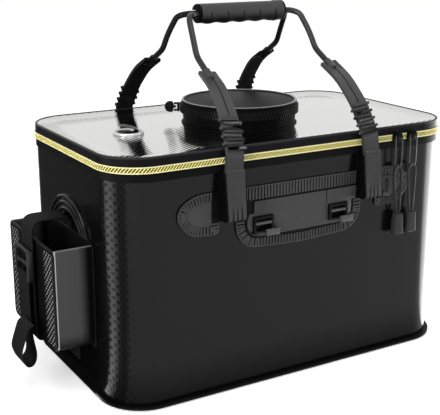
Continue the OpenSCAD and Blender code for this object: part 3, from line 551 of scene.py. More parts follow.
def pocket_sheet():
    """Grey sheet with painted shade, by ramps of X and Z towards the wall and the bottom, and
    painted highlights on its outer upright edges and its top edge.
    """
    low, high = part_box("pocket_box")
    skin = Finish("pocket_sheet", grey(0.034), 0.3, specular=0.2)
    vector, at = skin.place()
    # Painted shade: the side darkens and loses gloss towards the wall and towards the bottom.
    outward = skin.ramp(at["X"], 1.0, 0.0, high.x - 17 * MM, high.x - 5 * MM)
    painted_shade_by_height = skin.ramp(at["Z"], 0.0, 1.0, low.z + 3 * MM, low.z + 21 * MM)
    painted_light = skin.math("MULTIPLY", outward, painted_shade_by_height)
    # Painted highlights: a pale line on each outer upright edge, and a fainter one along the top
    # edge.
    corner = skin.math("GREATER_THAN", skin.math("ABSOLUTE", at["Y"]), high.y - 1.2 * MM)
    edge = skin.math("MULTIPLY", corner, skin.math("LESS_THAN", at["X"], low.x + 2.0 * MM))
    rim = skin.math("MULTIPLY", skin.math("GREATER_THAN", at["Z"], high.z - 0.9 * MM), 0.35)
    pale = skin.math("MAXIMUM", edge, rim)
    shade = skin.add("ShaderNodeMix", {0: pale}, data_type="RGBA")
    skin.set(shade, 6, skin.tint(painted_light, grey(0.002), grey(0.040)))
    skin.set(shade, 7, (*grey(0.32), 1.0))
    skin.set(skin.shader, "Base Color", shade.outputs[2])
    skin.set(skin.shader, "Specular IOR Level", skin.ramp(painted_light, 0.04, 0.2))
    skin.grain(vector, 400.0, 0.03)
    return skin.material


def knotted_net():
    """Black net with pale knots, a painted highlight for glints on the yarn, where two slanting
    waves peak together at every second crossing.

    The painted knots fade along Y, away from the pocket's two upright edges, into painted shade.
    """
    net = Finish("net_yarn", grey(0.004), 0.5, specular=0.05)
    _, at = net.place()
    low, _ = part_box("pocket_mesh")
    up = net.math("SUBTRACT", at["Z"], low.z + NET_EDGE * MM - NET_STEP / 2)
    rising = net.wave(net.math("ADD", at["Y"], up), 2 * NET_STEP)
    falling = net.wave(net.math("SUBTRACT", at["Y"], up), 2 * NET_STEP)
    # Painted shade: the painted knot highlights fade out towards the middle of the pocket.
    beside = net.ramp(net.math("ABSOLUTE", at["Y"]), 0.0, 1.0, 28 * MM, 50 * MM)
    knots = net.math("MULTIPLY", net.math("MULTIPLY", rising, falling), beside)
    net.two_tone(net.ramp(knots, 0.0, 1.0, 0.5, 0.75), grey(0.003), grey(0.36))
    return net.material


def clip_nylon():
    """Black clip with a grey tongue, and a grey cross bar that is a painted highlight on a ledge,
    told apart by their place.
    """
    nylon = Finish("clip_nylon", grey(0.004), 0.42, specular=0.12)
    _, at = nylon.place()
    out = nylon.math("ABSOLUTE", at["X"])
    beside = nylon.math("ABSOLUTE", nylon.math("SUBTRACT", out, CLIP_X))
    # Painted highlight: a grey band on the cross bar where a ledge catches the light.
    level = nylon.inside(at["Z"], 210.2 * MM, 213.4 * MM)
    bar = nylon.math("MULTIPLY", level, nylon.math("LESS_THAN", beside, CLIP_BAR_HALF))
    tongue = nylon.math("GREATER_THAN", nylon.math("ABSOLUTE", at["Y"]), TONGUE_Y)
    pale = nylon.math("MAXIMUM", bar, tongue)
    nylon.two_tone(pale, grey(0.003), grey(0.055), shine=(0.1, 0.3))
    return nylon.material


print("finishes by place: ready")

# %% [markdown]
# ## The table of finishes
#
# Every finish is made once and kept under a short name, which the pieces use further on.

# %% table of finishes
FINISHES = {
    "carbon": carbon_sheet(),
    "twill": twill_sheet(),
    "vinyl": moulded("black_vinyl", (0.003, 0.003, 0.0033), 0.42, specular=0.05),
    "deep_vinyl": moulded("deep_vinyl", grey(0.0012), 0.5, specular=0.04),
    "lid_side": moulded("lid_side", (0.0045, 0.0045, 0.006), 0.38, specular=0.05),
    "grey_piping": moulded("grey_piping", grey(0.018), 0.35, specular=0.1),
    "pale_piping": rim_piping(),
    "zip_tape": woven("zip_tape", grey(0.012), 1.2 * MM),
    "zip_cord": twisted_cord("zip_cord", (0.95, 0.91, 0.55), (0.62, 0.55, 0.24)),
    "zip_gold": tooth_plastic(),
    "zip_black": moulded("zip_black", grey(0.004), 0.4, specular=0.1),
    "port_cover": moulded("port_cover_sheet", (0.007, 0.007, 0.0072), 0.42, grain=300.0,
                          specular=0.025),
    "ring": turned_metal(),
    "rubber": moulded("black_rubber", grey(0.003), 0.5, specular=0.1),
    "flap": moulded("flap_rubber", (0.045, 0.043, 0.047), 0.4, specular=0.15),
    "pad": pad_vinyl(),
    "pad_rib": pad_rib_vinyl(),
    "plate": moulded("plate_vinyl", grey(0.036), 0.42, specular=0.2),
    "leg": moulded("leg_nylon", (0.036, 0.036, 0.037), 0.34, specular=0.25),
    # Painted shade: the rear legs take a darker copy of the front legs' finish.
    "leg_painted_shade": moulded("leg_nylon_painted_shade", grey(0.004), 0.38, specular=0.04),
    "rod": moulded("rod_sleeve", (0.013, 0.013, 0.0135), 0.26, specular=0.3),
    # Painted shade: the rear rod takes a darker copy of the front rod's finish.
    "rod_painted_shade": moulded("rod_sleeve_painted_shade", grey(0.005), 0.3, specular=0.08),
    "grip": grip_rubber(),
    "black_nylon": moulded("black_nylon", grey(0.002), 0.42, specular=0.04),
    "buckle": moulded("buckle_nylon", grey(0.010), 0.28, specular=0.35),
    "clip": clip_nylon(),
    "steel": moulded("pin_steel", grey(0.003), 0.4, specular=0.04),
    "wire": moulded("lacquered_wire", grey(0.012), 0.28, specular=0.3),
    "tag": moulded("tag_rubber", grey(0.020), 0.5, grain=500.0, depth=0.06, specular=0.12),
    "pull_cord": moulded("pull_cord", grey(0.010), 0.5, grain=700.0, depth=0.1, specular=0.2),
    "net": knotted_net(),
    "webbing": webbing_cloth(),
    "pocket": pocket_sheet(),
    "backboard": moulded("backboard_gloss", grey(0.003), 0.14, depth=0.01, specular=0.3),
}
print("finishes:", len(FINISHES))

# %% [markdown]
# ## Surfaces from arrays
#
# New pieces are grids of points. A grid's rows and columns become quads, its ends can be
# closed, and its UV map is measured in metres, so a weave keeps its true size on any piece.
# The faces of a closed grid are turned outwards once, when the mesh is made.


# %% grid helpers
def grid_faces(rows, columns, wrap_rows):
    """Quads of a grid: each joins a point with its neighbours one row and one column on."""
    i, j = np.indices((rows - (not wrap_rows), columns))
    i, j = i.ravel(), j.ravel()
    i_next, j_next = (i + 1) % rows, (j + 1) % columns
    here, there = i * columns, i_next * columns
    return np.stack([here + j, there + j, there + j_next, here + j_next], -1), i, j


def enclosed(points, quads):
    """Signed volume of the cones from the middle to each quad: positive when faces look out."""
    p = points[quads] - points.mean(0)
    first = np.einsum("ij,ij->i", p[:, 0], np.cross(p[:, 1], p[:, 2]))
    second = np.einsum("ij,ij->i", p[:, 0], np.cross(p[:, 2], p[:, 3]))
    return float((first + second).sum())


def surface(name, grid, wrap_rows=False, caps=False, u_run=None, v_run=None):
    """A piece from a grid of points, whose columns join up into a ring.

    caps closes the first and the last row. u_run and v_run are distances in metres, and each
    point's UV is the run of its column and the run of its row.
    """
    grid = np.asarray(grid, float)
    rows, columns, _ = grid.shape
    points = grid.reshape(-1, 3)
    quads, i, j = grid_faces(rows, columns, wrap_rows)
    uv = np.zeros((len(quads), 4, 2))
    if u_run is not None:
        u, v = np.asarray(u_run), np.asarray(v_run)
        uv[..., 0] = np.stack([u[j], u[j], u[j + 1], u[j + 1]], -1)
        uv[..., 1] = np.stack([v[i], v[i + 1], v[i + 1], v[i]], -1)
    first, last = list(range(columns)), list(range((rows - 1) * columns, rows * columns))
    ends = [first[::-1], last] if caps else []
    if enclosed(points, quads) < 0:
        quads, uv = quads[:, ::-1], uv[:, ::-1]
        ends = [end[::-1] for end in ends]
    mesh = bpy.data.meshes.new(name)
    mesh.from_pydata(points.tolist(), [], quads.tolist() + ends)
    if u_run is not None:
        flat = np.zeros((len(mesh.loops), 2))
        flat[:uv.size // 2] = uv.reshape(-1, 2)
        mesh.uv_layers.new(name="run").data.foreach_set("uv", flat.ravel())
    mesh.polygons.foreach_set("use_smooth", np.arange(len(mesh.polygons)) < len(quads))
    return scene_object(name, mesh)


def finish_piece(piece, finish, slot, body, *stands_for):
    """Gives a piece its finish, hides the nodes it stands for, and puts it on a body. The slot is
    not used.
    """
    piece.data.materials.clear()
    piece.data.materials.append(FINISHES[finish])
    if stands_for:
        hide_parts(*stands_for)
    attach(piece, body)
    print(piece.name, len(piece.data.polygons), "faces on", body)


print("grids: ready")

# %% [markdown]
# ## Paths and tubes
#
# A rod or a cord is a circle carried along a path. The circle must not spin as the path turns,
# so each step carries the last frame over to the new direction. A strap is the same with a flat
# section whose width always lies across the bucket.


# %% paths and sweeps
def rounded_path(corners, steps=8):
    """Straight runs joined by arcs: each corner is [x, z, radius], in millimetres."""
    points = [np.array(corners[0][:2], float)]
    for before, corner, after in zip(corners, corners[1:], corners[2:]):
        b = np.array(corner[:2], float)
        u = np.array(before[:2], float) - b
        v = np.array(after[:2], float) - b
        u, v = u / np.linalg.norm(u), v / np.linalg.norm(v)
        half = math.acos(np.clip(u @ v, -1, 1)) / 2
        middle = b + (u + v) / np.linalg.norm(u + v) * corner[2] / math.sin(half)
        start = b + u * corner[2] / math.tan(half) - middle
        end = b + v * corner[2] / math.tan(half) - middle
        first = math.atan2(start[1], start[0])
        turn = (math.atan2(end[1], end[0]) - first + 3 * math.pi) % (2 * math.pi) - math.pi
        angles = first + turn * np.linspace(0, 1, steps + 1)
        points += list(middle + corner[2] * circle(angles))
    points.append(np.array(corners[-1][:2], float))
    return np.array(points)


def resample(path, spacing):
    """The same path with points an even distance apart."""
    run = run_along(path)
    wanted = np.linspace(0, run[-1], max(2, int(round(run[-1] / spacing)) + 1))
    return np.stack([np.interp(wanted, run, path[:, k]) for k in range(path.shape[1])], -1)


def eased(path, rounds=2):
    """Softens a path: each inner point moves half way to the mean of its neighbours."""
    path = path.copy()
    for _ in range(rounds):
        path[1:-1] = 0.5 * path[1:-1] + 0.25 * (path[:-2] + path[2:])
    return path


def tube_grid(path, radius, sides, closed=False):
    """Rings of a tube: every ring is the circle cos, sin in a frame carried along the path."""
    ahead = np.roll(path, -1, 0) if closed else np.vstack([path[1:], path[-1:]])
    behind = np.roll(path, 1, 0) if closed else np.vstack([path[:1], path[:-1]])
    tangent = ahead - behind
    tangent /= np.linalg.norm(tangent, axis=1, keepdims=True)
    side = np.cross(tangent[0], [0.31, 0.17, 0.93])
    angle = full_turn(sides)
    rings = []
    for point, along in zip(path, tangent):
        side = side - along * (side @ along)
        side /= np.linalg.norm(side)
        other = np.cross(along, side)
        rings.append(point + radius * (np.outer(np.cos(angle), side)
                                       + np.outer(np.sin(angle), other)))
    return np.array(rings)


print("sweeps: ready")

# %% [markdown]
# ## Dressing the frame's own pieces
#
# Many pieces of the frame already have their true shape, so they keep their mesh and get a
# finish. One table says which finish each of them takes. The others are replaced further on.

# %% dress the frame
DRESS = {
    "twill": ["lid_panel"],
    "vinyl": ["body_lip", "base_welt"],
    "lid_side": ["lid_rim", "hinge_strip_lower", "hinge_strip_upper"],
    "pale_piping": ["port_piping"],
    "zip_tape": ["body_zip_tape", "lid_zip_tape"],
    "zip_black": ["port_zip_lower", "port_zip_upper"],
    "deep_vinyl": ["port_collar", "port_skirt", "port_hinge_lower", "port_hinge_upper"],
    "port_cover": ["port_cover"],
    "rubber": ["hose_gasket"],
    "flap": ["hose_flap"],
    "steel": ["hinge_pins", "bracket_rivets"],
    "pocket": ["pocket_box"],
    "backboard": ["backboard"],
}
for finish, members in DRESS.items():
    for member in members:
        materials = NODES[member].data.materials
        materials.clear()
        materials.append(FINISHES[finish])
print("dressed:", sum(len(members) for members in DRESS.values()), "frame pieces")

# %% [markdown]
# ## The body's skin
#
# The wall is one sheet welded into a box. Its plan is a rectangle with round corners, and a
# section runs from the bottom edge up the outside, over the top and down the inside. Carrying
# the section round the plan gives the whole shell in one grid, with the wall's length as U and
# its height as V, so that the woven look runs round the corners without a break.

# %% body skin
PLAN_STEPS = 20
LONG_GAP, LONG_PIECES = 20, 12


def plan_loop(offset):
    """Plan of the bucket moved out by an offset, in millimetres.

    Each corner is centre + (radius + offset) times (cos a, sin a) for a quarter turn, and the
    straight runs between the corners are cut into even pieces.
    """
    quarter = np.linspace(0, math.pi / 2, PLAN_STEPS)
    radius = BODY_R + offset
    points = []
    for k, (sx, sy) in enumerate([(1, 1), (-1, 1), (-1, -1), (1, -1)]):
        angle = quarter + k * math.pi / 2
        centre = np.array([sx * (BODY_L / 2 - BODY_R), sy * (BODY_W / 2 - BODY_R)])
        points.append(centre + radius * circle(angle))
    corner = np.concatenate(points)
    after = np.roll(corner, -1, 0)
    gap = np.linalg.norm(after - corner, axis=1)
    loop = []
    for here, there, length in zip(corner, after, gap):
        pieces = LONG_PIECES if length > LONG_GAP else 1
        loop += [here + (there - here) * k / pieces for k in range(pieces)]
    return np.array(loop)


def plan_run():
    """Distance round the wall at each point of the loop, closed, in metres."""
    loop = plan_loop(0.0)
    steps = np.linalg.norm(np.roll(loop, -1, 0) - loop, axis=1)
    return np.concatenate([[0], np.cumsum(steps)]) * MM


def carry_round(section):
    """Grid of a section of [offset, height] pairs carried round the plan."""
    return np.array([ring(*plan_loop(offset).T, height) for offset, height in section]) * MM


def body_skin():
    """The shell: floor, round foot, outside, top and inside, as offsets and heights.

    The foot is a quarter circle of 2 mm: offset 2 sin a - 2 and height 2 - 2 cos a.
    """
    quarter = np.linspace(0, math.pi / 2, 5)
    section = [(-30.0, 0.0)]
    section += [(-2.0 + 2.0 * math.sin(a), 2.0 - 2.0 * math.cos(a)) for a in quarter]
    section += [(0.0, z) for z in [3.5, 6, *np.linspace(20, WALL_H - 3, 12), WALL_H - 1]]
    section += [(-0.4, WALL_H), (-WALL_T + 0.4, WALL_H), (-WALL_T, WALL_H - 1)]
    section += [(-WALL_T, WALL_T + 3), (-WALL_T - 1, WALL_T + 1), (-WALL_T - 3, WALL_T)]
    section += [(-30.0, WALL_T)]
    section = np.array(section)
    up = run_along(section) * MM
    return surface("body_skin", carry_round(section), caps=True, u_run=plan_run(), v_run=up)


finish_piece(body_skin(), "carbon", "eva_body", "root", "body_shell")

# %% [markdown]
# ## The lid's edge
#
# The film is welded over the stiff rim, so near its edge it climbs gently to the piping. That
# slope keeps the mirror unbroken up to a thin line of piping, on the far side too.

# %% lid edge
PIPING_OUT, PIPING_Z, PIPING_R = -0.1, 308.4, 1.75
slope = [(-1.6, 309.1), (-3.0, 308.7), (-5.0, 308.2), (-9.0, 307.4), (-15.0, 306.6),
         (-21.0, 306.15), (-27.0, 305.97)]
finish_piece(surface("lid_film_edge", carry_round(slope)), "twill", "eva_lid", "lid")
round_bead = circle(full_turn(14))
edge_section = [PIPING_OUT, PIPING_Z] + PIPING_R * round_bead
finish_piece(surface("lid_edge_piping", carry_round(edge_section), wrap_rows=True),
             "grey_piping", "grey_piping", "lid", "lid_piping")

# %% [markdown]
# ## The hose ring
#
# The ring is turned: a flat washer with a rounded outer edge. Its profile of radius and height
# is carried round the port's own axis.

# %% hose ring
def turned_ring(name, centre, profile, steps=72):
    """Surface of a closed profile of [radius, height] pairs turned round an upright axis.

    Each pair gives a ring of points: centre + radius times (cos a, sin a), at the height.
    """
    points = circle(full_turn(steps))
    rings = [ring(*(centre + r * points).T, z) for r, z in profile]
    return surface(name, np.array(rings) * MM, wrap_rows=True)


EDGE_R = 1.9
quarter_turn = np.linspace(0, math.pi / 2, 7)
ring_profile = [(13.4, 306.0), (13.4, 308.4), (13.9, 309.0)]
ring_profile += [(17.6 + EDGE_R * math.sin(a), 307.6 + EDGE_R * math.cos(a)) for a in quarter_turn]
ring_profile += [(19.5, 306.0)]
finish_piece(turned_ring("hose_ring_turned", RING_AT, ring_profile),
             "ring", "metal_ring", "lid", "hose_ring")

# %% [markdown]
# ## The zip's teeth
#
# The two rows of teeth follow the same plan, half a pitch apart. A point is found by its
# distance round the plan, so the teeth keep their pitch on the corners. Each tooth leans, and
# the two rows lean alike, so the gaps of both rows join into one slanting line. A thin cord
# runs along the outer edge of each row.

# %% zip teeth
TOOTH_OUT, TOOTH_ROOT, TAPE_OUT = 2.8, 1.6, 1.35
TOOTH_POINTS = 10
CORD_OUT, CORD_HALF_W, CORD_HALF_H = 2.1, 1.05, 0.72


def plan_at(run, offset):
    """Points at distances round the plan, each moved out by its own offset, in millimetres.

    A quarter of the plan is a straight run and a corner. On the corner the angle is the
    distance past the straight over the radius. Each quarter is the last one turned by 90 degrees.
    """
    quarter = math.pi / 2 * BODY_R
    points = np.zeros((len(run), 2))
    start = 0.0
    for k in range(4):
        across, side = (BODY_L, BODY_W) if k % 2 == 0 else (BODY_W, BODY_L)
        reach, straight = across / 2, side - 2 * BODY_R
        t = run - start
        angle = np.clip((t - straight) / BODY_R, 0, None)
        radius = BODY_R + offset
        x = np.where(t < straight, reach + offset, reach - BODY_R + radius * np.cos(angle))
        y = np.where(t < straight, t - straight / 2, straight / 2 + radius * np.sin(angle))
        turned = [(x, y), (-y, x), (-x, -y), (y, -x)][k]
        here = t >= -1e-9
        points[here] = np.stack(turned, -1)[here]
        start += straight + quarter
    return points


def tooth_row(name, low, high, body, node):
    """One row of leaning teeth: the outside rises and falls once a pitch.

    The phase is the run less the height's lean, in pitches, and the rise is its sine, cut flat
    at the tooth's crown and at its root.
    """
    run = np.arange(TEETH * TOOTH_POINTS) * TOOTH_STEP / MM / TOOTH_POINTS
    tape = plan_at(run, np.full(len(run), TAPE_OUT)).T
    rings = [ring(*tape, low)]
    for height in np.linspace(low, high, 6):
        phase = (run - (height - TOOTH_LOW) * TOOTH_LEAN) / (TOOTH_STEP / MM)
        rise = np.clip((0.5 + 0.5 * np.sin(2 * math.pi * phase) - 0.40) / 0.25, 0, 1)
        offset = TOOTH_ROOT + (TOOTH_OUT - TOOTH_ROOT) * rise
        rings.append(ring(*plan_at(run, offset).T, height))
    rings.append(ring(*tape, high))
    u = np.append(run, TEETH * TOOTH_STEP / MM) * MM
    v = np.arange(len(rings) + 1) * MM
    row = surface(name, np.array(rings) * MM, wrap_rows=True, u_run=u, v_run=v)
    finish_piece(row, "zip_gold", "zip_gold", body, node)


def zip_cord(name, height, body, node):
    """A thin cord of oval section round the plan."""
    section = [CORD_OUT, height] + [CORD_HALF_W, CORD_HALF_H] * round_bead
    cord = surface(name, carry_round(section), wrap_rows=True)
    finish_piece(cord, "zip_cord", "zip_cream", body, node)


tooth_row("tooth_row_lower", TOOTH_LOW, 294.85, "root", "body_zip_teeth")
tooth_row("tooth_row_upper", 295.15, TOOTH_TOP, "lid", "lid_zip_teeth")
zip_cord("zip_cord_lower", 291.75, "root", "body_zip_cord")
zip_cord("zip_cord_upper", 298.25, "lid", "lid_zip_cord")

# %% [markdown]
# ## Edges that are not knife sharp
#
# Moulded parts never have sharp edges, and it is the thin highlight along each edge that makes
# them look real. A copy of a frame piece is merged into clean faces, and a Bevel modifier
# rounds every edge that turns by more than an angle. The copy then stands for the frame's piece.


# %% rounded copies
MERGE, FLAT_ANGLE = 1e-6, 0.6
BEVEL_ANGLE, BEVEL_STEPS = 32, 2
LEFT_EAR_END = -0.117


def softened(node, finish, slot, body, width, leave_out=None):
    """A copy of a frame piece, merged into flat faces, with its edges rounded by a width.

    width is in millimetres, and an edge is rounded where it turns by more than BEVEL_ANGLE.
    leave_out is an X in metres: separate solids of the node that lie left of it aren't copied.
    """
    mesh = NODES[node].data.copy()
    mesh.name = node + "_moulded"
    build = bmesh.new()
    build.from_mesh(mesh)
    bmesh.ops.remove_doubles(build, verts=build.verts, dist=MERGE)
    if leave_out is not None:
        left = [v for v in build.verts if v.co.x < leave_out]
        bmesh.ops.delete(build, geom=left, context="VERTS")
        print(node, "open edges:", sum(not e.is_manifold for e in build.edges))
    bmesh.ops.dissolve_limit(build, angle_limit=math.radians(FLAT_ANGLE), verts=build.verts,
                             edges=build.edges)
    build.to_mesh(mesh)
    build.free()
    piece = scene_object(node + "_moulded", mesh)
    mesh.polygons.foreach_set("use_smooth", np.ones(len(mesh.polygons), bool))
    round_off = piece.modifiers.new("round_off", "BEVEL")
    round_off.width = width * MM
    round_off.segments = BEVEL_STEPS
    round_off.limit_method = "ANGLE"
    round_off.angle_limit = math.radians(BEVEL_ANGLE)
    round_off.harden_normals = True
    finish_piece(piece, finish, slot, body, node)


def soften_pairs(kinds):
    """The front and the rear copy of each kind of wall piece, which both stay on the root."""
    for kind, finish, slot, width in kinds:
        for end in ("front", "rear"):
            node = end + "_" + kind
            ear = LEFT_EAR_END if node == "front_plate" else None
            softened(node, finish, slot, "root", width, leave_out=ear)


# The rear legs get the darker finish, which is painted shade.
for end, leg in (("front", "leg"), ("rear", "leg_painted_shade")):
    for side in ("left", "right"):
        softened(f"{end}_leg_{side}", leg, "leg_grey", end + "_handle", 0.6)
soften_pairs([
    ("brackets", "black_nylon", "bracket_black", 0.5),
    ("clips", "clip", "bracket_black", 0.4),
    ("plate", "plate", "plate_grey", 0.6),
    ("pad", "pad", "pad_grey", 0.5),
    ("pad_ribs", "pad_rib", "pad_grey", 0.35),
])
for place in ("inner", "outer"):
    softened("slider_" + place, "black_nylon", "bracket_black", place + "_slider", 0.7)
softened("strap_buckle", "buckle", "bracket_black", "root", 0.9)
softened("port_slider", "vinyl", "black_vinyl", "port_zip_slider", 0.5)
softened("pocket_flange", "vinyl", "black_vinyl", "root", 0.8)

# %% [markdown]
# ## Handle rods
#
# Each handle is one bent rod. It leaves the socket of a leg, turns over a kink, runs up
# a shoulder and goes straight through the grip, and the second half is the mirror of the first.

# %% rods
ROD_R = 3.8
ROD_Y = 5.6
GRIP_Z = 450.0
GRIP_L = 130.0
SOCKET_TOP = np.array([90.6, -72.25, 387.0])
KINK = np.array([89.0, -43.0, 404.0])
SHOULDER = np.array([84.6, -20.0, 441.0])
GRIP_END = np.array([GRIP_L / 2 + 2, -ROD_Y, GRIP_Z])


def curve3(a, b, c, steps):
    """Quadratic curve: it starts at a, leans to b and ends at c."""
    t = np.linspace(0, 1, steps)[:, None]
    return (1 - t) ** 2 * a + 2 * t * (1 - t) * b + t ** 2 * c


def rod_path():
    """Centre line of the front rod, in metres."""
    up = (KINK - SOCKET_TOP) / np.linalg.norm(KINK - SOCKET_TOP)
    length = np.linalg.norm(KINK - SOCKET_TOP)
    into_grip = np.array([78.6, -ROD_Y, GRIP_Z + 1])
    half = np.vstack([
        SOCKET_TOP - 7.5 * up, SOCKET_TOP, SOCKET_TOP + 0.8 * length * up,
        curve3(KINK + [0, -1, 1], (KINK + SHOULDER) / 2 + [1.5, -4, 0], SHOULDER, 8),
        curve3(0.85 * SHOULDER + 0.15 * GRIP_END + [2, 0, 3], into_grip, GRIP_END, 8),
    ])
    whole = np.vstack([half, half[::-1] * [-1, 1, 1]])
    return eased(resample(whole, 3.0), 3) * MM


def rod(name, side, finish, body, node):
    """The front rod, or with side -1 its mirror at the back."""
    grid = tube_grid(rod_path(), ROD_R * MM, 24) * [1, side, 1]
    finish_piece(surface(name, grid, caps=True), finish, "rod_grey", body, node)


rod("front_rod_sleeve", 1, "rod", "front_handle", "front_rod")
# The rear rod gets the darker finish, which is painted shade.
rod("rear_rod_sleeve", -1, "rod_painted_shade", "rear_handle", "rear_rod")

# %% [markdown]
# ## The split grip
#
# The grip is a thick C: it is moulded on the front rod, and the rear rod lies in its mouth. Its
# underside has finger bumps, and a raised collar runs round its right end. The section is an
# outer arc and an inner channel, and the outer radius changes along the grip.

# %% grip
GRIP_R, END_R = 12.5, 2.5
MOUTH, CHANNEL_R = 4.5, 4.15
BUMPS = 5.4


def grip_radius(x, angle):
    """Outer radius at a place along the grip: a round end, a collar, and bumps underneath.

    The end falls as a quarter circle, the root of 1 - t squared over the last 2.5 mm. A bump is
    a cosine of x, and it counts by minus the sine of the angle, to the power 1.5.
    """
    past = np.clip((np.abs(x) - (GRIP_L / 2 - END_R)) / END_R, 0, 1)
    end = np.sqrt(np.clip(1 - past ** 2, 0, 1))
    bump = 0.5 + 0.5 * np.cos(2 * math.pi * x * BUMPS / GRIP_L)
    under = np.clip(-np.sin(angle), 0, 1) ** 1.5
    collar = 0.5 * (np.tanh((x - (GRIP_L / 2 - 14)) / 0.4) + 1) * 0.8
    return GRIP_R - 1.6 * (1 - end) + (1.5 * bump - 0.7) * under + collar


def grip_section(x):
    """One closed section: the outer arc from lip to lip, then the channel back, as y and z."""
    lip = math.asin(MOUTH / GRIP_R) + 0.10
    arc = np.linspace(lip, 2 * math.pi - lip, 44)
    radius = grip_radius(x, arc)
    outer = radius[:, None] * circle(arc)
    channel_end = np.linspace(-math.pi / 2, -3 * math.pi / 2, 13)
    channel = CHANNEL_R * circle(channel_end) - [ROD_Y, 0]
    lip_y = GRIP_R * math.cos(lip) - 0.6
    low = np.array([[lip_y, -MOUTH], [4.0, -MOUTH], [-2.0, -MOUTH + 0.1]])
    return np.vstack([outer, low, channel, low[::-1] * [1, -1]])


def grip_body():
    """The sections in a row: close together at both round ends, and evenly spaced between."""
    end = GRIP_L / 2
    along = np.concatenate([np.linspace(-end, -end + END_R, 6),
                            np.linspace(-end + END_R + 1, end - END_R - 1, 86),
                            np.linspace(end - END_R, end, 6)])
    rings = []
    for x in along:
        y, z = grip_section(x).T
        rings.append(ring(x, y, GRIP_Z + z))
    return surface("grip_sleeve", np.array(rings) * MM, caps=True)


finish_piece(grip_body(), "grip", "grip_grey", "front_handle", "grip")

# %% [markdown]
# ## Zip pulls
#
# Each slider carries a wire stirrup, and a doubled cord hangs in the stirrup and ends in a
# moulded tag. The wire is a tube along a closed path. The cord is a tube too, and both its ends
# go into the tag. The tag is a block whose section is a rounded box that widens downwards.

# %% pulls
EYE_Y, EYE_Z = -154.05, 298.0
STIRRUP_L, STIRRUP_HALF, WIRE_R = 42.0, 5.5, 1.1
CORD_L, CORD_R = 62.0, 1.5
TAG_W, TAG_T = 16.0, 8.6


def stirrup(name, x, body, node):
    """A closed loop of wire: straight through the slider's eye, down both sides and round below."""
    arc = np.linspace(0, math.pi, 19)
    bend = 1.2
    half = STIRRUP_HALF
    low = [(half * math.cos(a), -STIRRUP_L + half - half * math.sin(a)) for a in arc]
    shape = [(-half + bend, 0), (half - bend, 0), (half - bend / 3, -bend / 3), (half, -bend)]
    shape = np.array(shape + low + [(-half, -bend), (-half + bend / 3, -bend / 3)])
    closed = resample(np.vstack([shape, shape[:1]]), 1.1)[:-1]
    path = ring(x + closed[:, 0], EYE_Y, EYE_Z + closed[:, 1]) * MM
    grid = tube_grid(path, WIRE_R * MM, 12, closed=True)
    finish_piece(surface(name, grid, wrap_rows=True), "wire", "wire_dark", body, node)


def soft_box(steps, power):
    """A box with soft corners: a circle's cosine and sine to a power, which keeps their signs."""
    points = circle(full_turn(steps)).T
    return np.sign(points) * np.abs(points) ** power


def tag_points(x):
    """Tag sections from top to bottom, in metres: rounded boxes, narrow above and full below.

    Each is a soft box with the power 0.3.
    """
    top = EYE_Z - STIRRUP_L - CORD_L
    heights = np.array([0.0, 0.25, 1.0, 3.0, 5.0, 12.0, 24.0, 26.6, 27.7, 28.0])
    widths = np.array([0.70, 0.77, 0.80, 0.83, 0.86, 0.93, 1.0, 1.0, 0.98, 0.94])
    depths = np.array([0.60, 0.78, 0.90, 0.97, 1.0, 1.0, 1.0, 0.97, 0.88, 0.74])
    box_x, box_y = soft_box(36, 0.3)
    rings = []
    for height, wide, deep in zip(heights, widths, depths):
        across = x + TAG_W / 2 * wide * box_x
        out = EYE_Y + TAG_T / 2 * deep * box_y
        rings.append(ring(across, out, top - height))
    return np.array(rings) * MM


def pull(name, x, spread, sag, drift, body, node):
    """Cord loop and tag: the cord goes through the stirrup, and both strands hang side by side.

    Half the loop's width goes from spread at the top by way of sag to 2 mm at the tag, and
    drift moves the tag sideways in step with the drop.
    """
    top = EYE_Z - STIRRUP_L
    over = [(-spread, -0.6, -2.0), (-0.72 * spread, -2.2, 2.0), (-0.3 * spread, -1.6, 3.2),
            (0.0, 0.0, 3.5), (0.3 * spread, 1.6, 3.2), (0.72 * spread, 2.2, 2.0),
            (spread, 0.6, -2.0)]
    drop = np.linspace(0, 1, 18)[1:]
    bulge = spread + (sag - spread) * np.sin(math.pi * np.clip(drop / 0.7, 0, 1)) ** 2
    width = bulge * (1 - drop ** 1.5) + 2.0 * drop ** 1.5
    right = ring(width, 0.0, -2.0 - CORD_L * drop)
    path = np.vstack([right[::-1] * [-1, 1, 1], over, right]) + [x, EYE_Y, top]
    path[:, 0] += drift * np.clip((top - path[:, 2]) / CORD_L, 0, 1)
    smooth = eased(resample(path, 1.4), 6) * MM
    cord = surface(name + "_cord", tube_grid(smooth, CORD_R * MM, 12), caps=True)
    finish_piece(cord, "pull_cord", "tag_rubber", body, node)
    tag = surface(name + "_tag", tag_points(x + drift), caps=True)
    finish_piece(tag, "tag", "tag_rubber", body, node)


stirrup("stirrup_wire_inner", 147.0, "inner_pull", "stirrup_inner")
stirrup("stirrup_wire_outer", 171.0, "outer_pull", "stirrup_outer")
pull("pull_inner", 147.0, 5.6, 7.4, 4.0, "inner_pull", "pull_inner")
pull("pull_outer", 171.0, 6.4, 6.0, 2.0, "outer_pull", "pull_outer")

# %% [markdown]
# ## The port's paddle
#
# The port's slider ends in a stiff paddle on an upright pin. It is a rounded plate: a row of
# upright rings along its length, each a soft box whose height follows the plate's outline.

# %% port paddle
PADDLE_ANGLE = math.radians(150.0)
PADDLE_REACH, PADDLE_Z = 84.6, 326.0
PADDLE_ROOT = 2.6


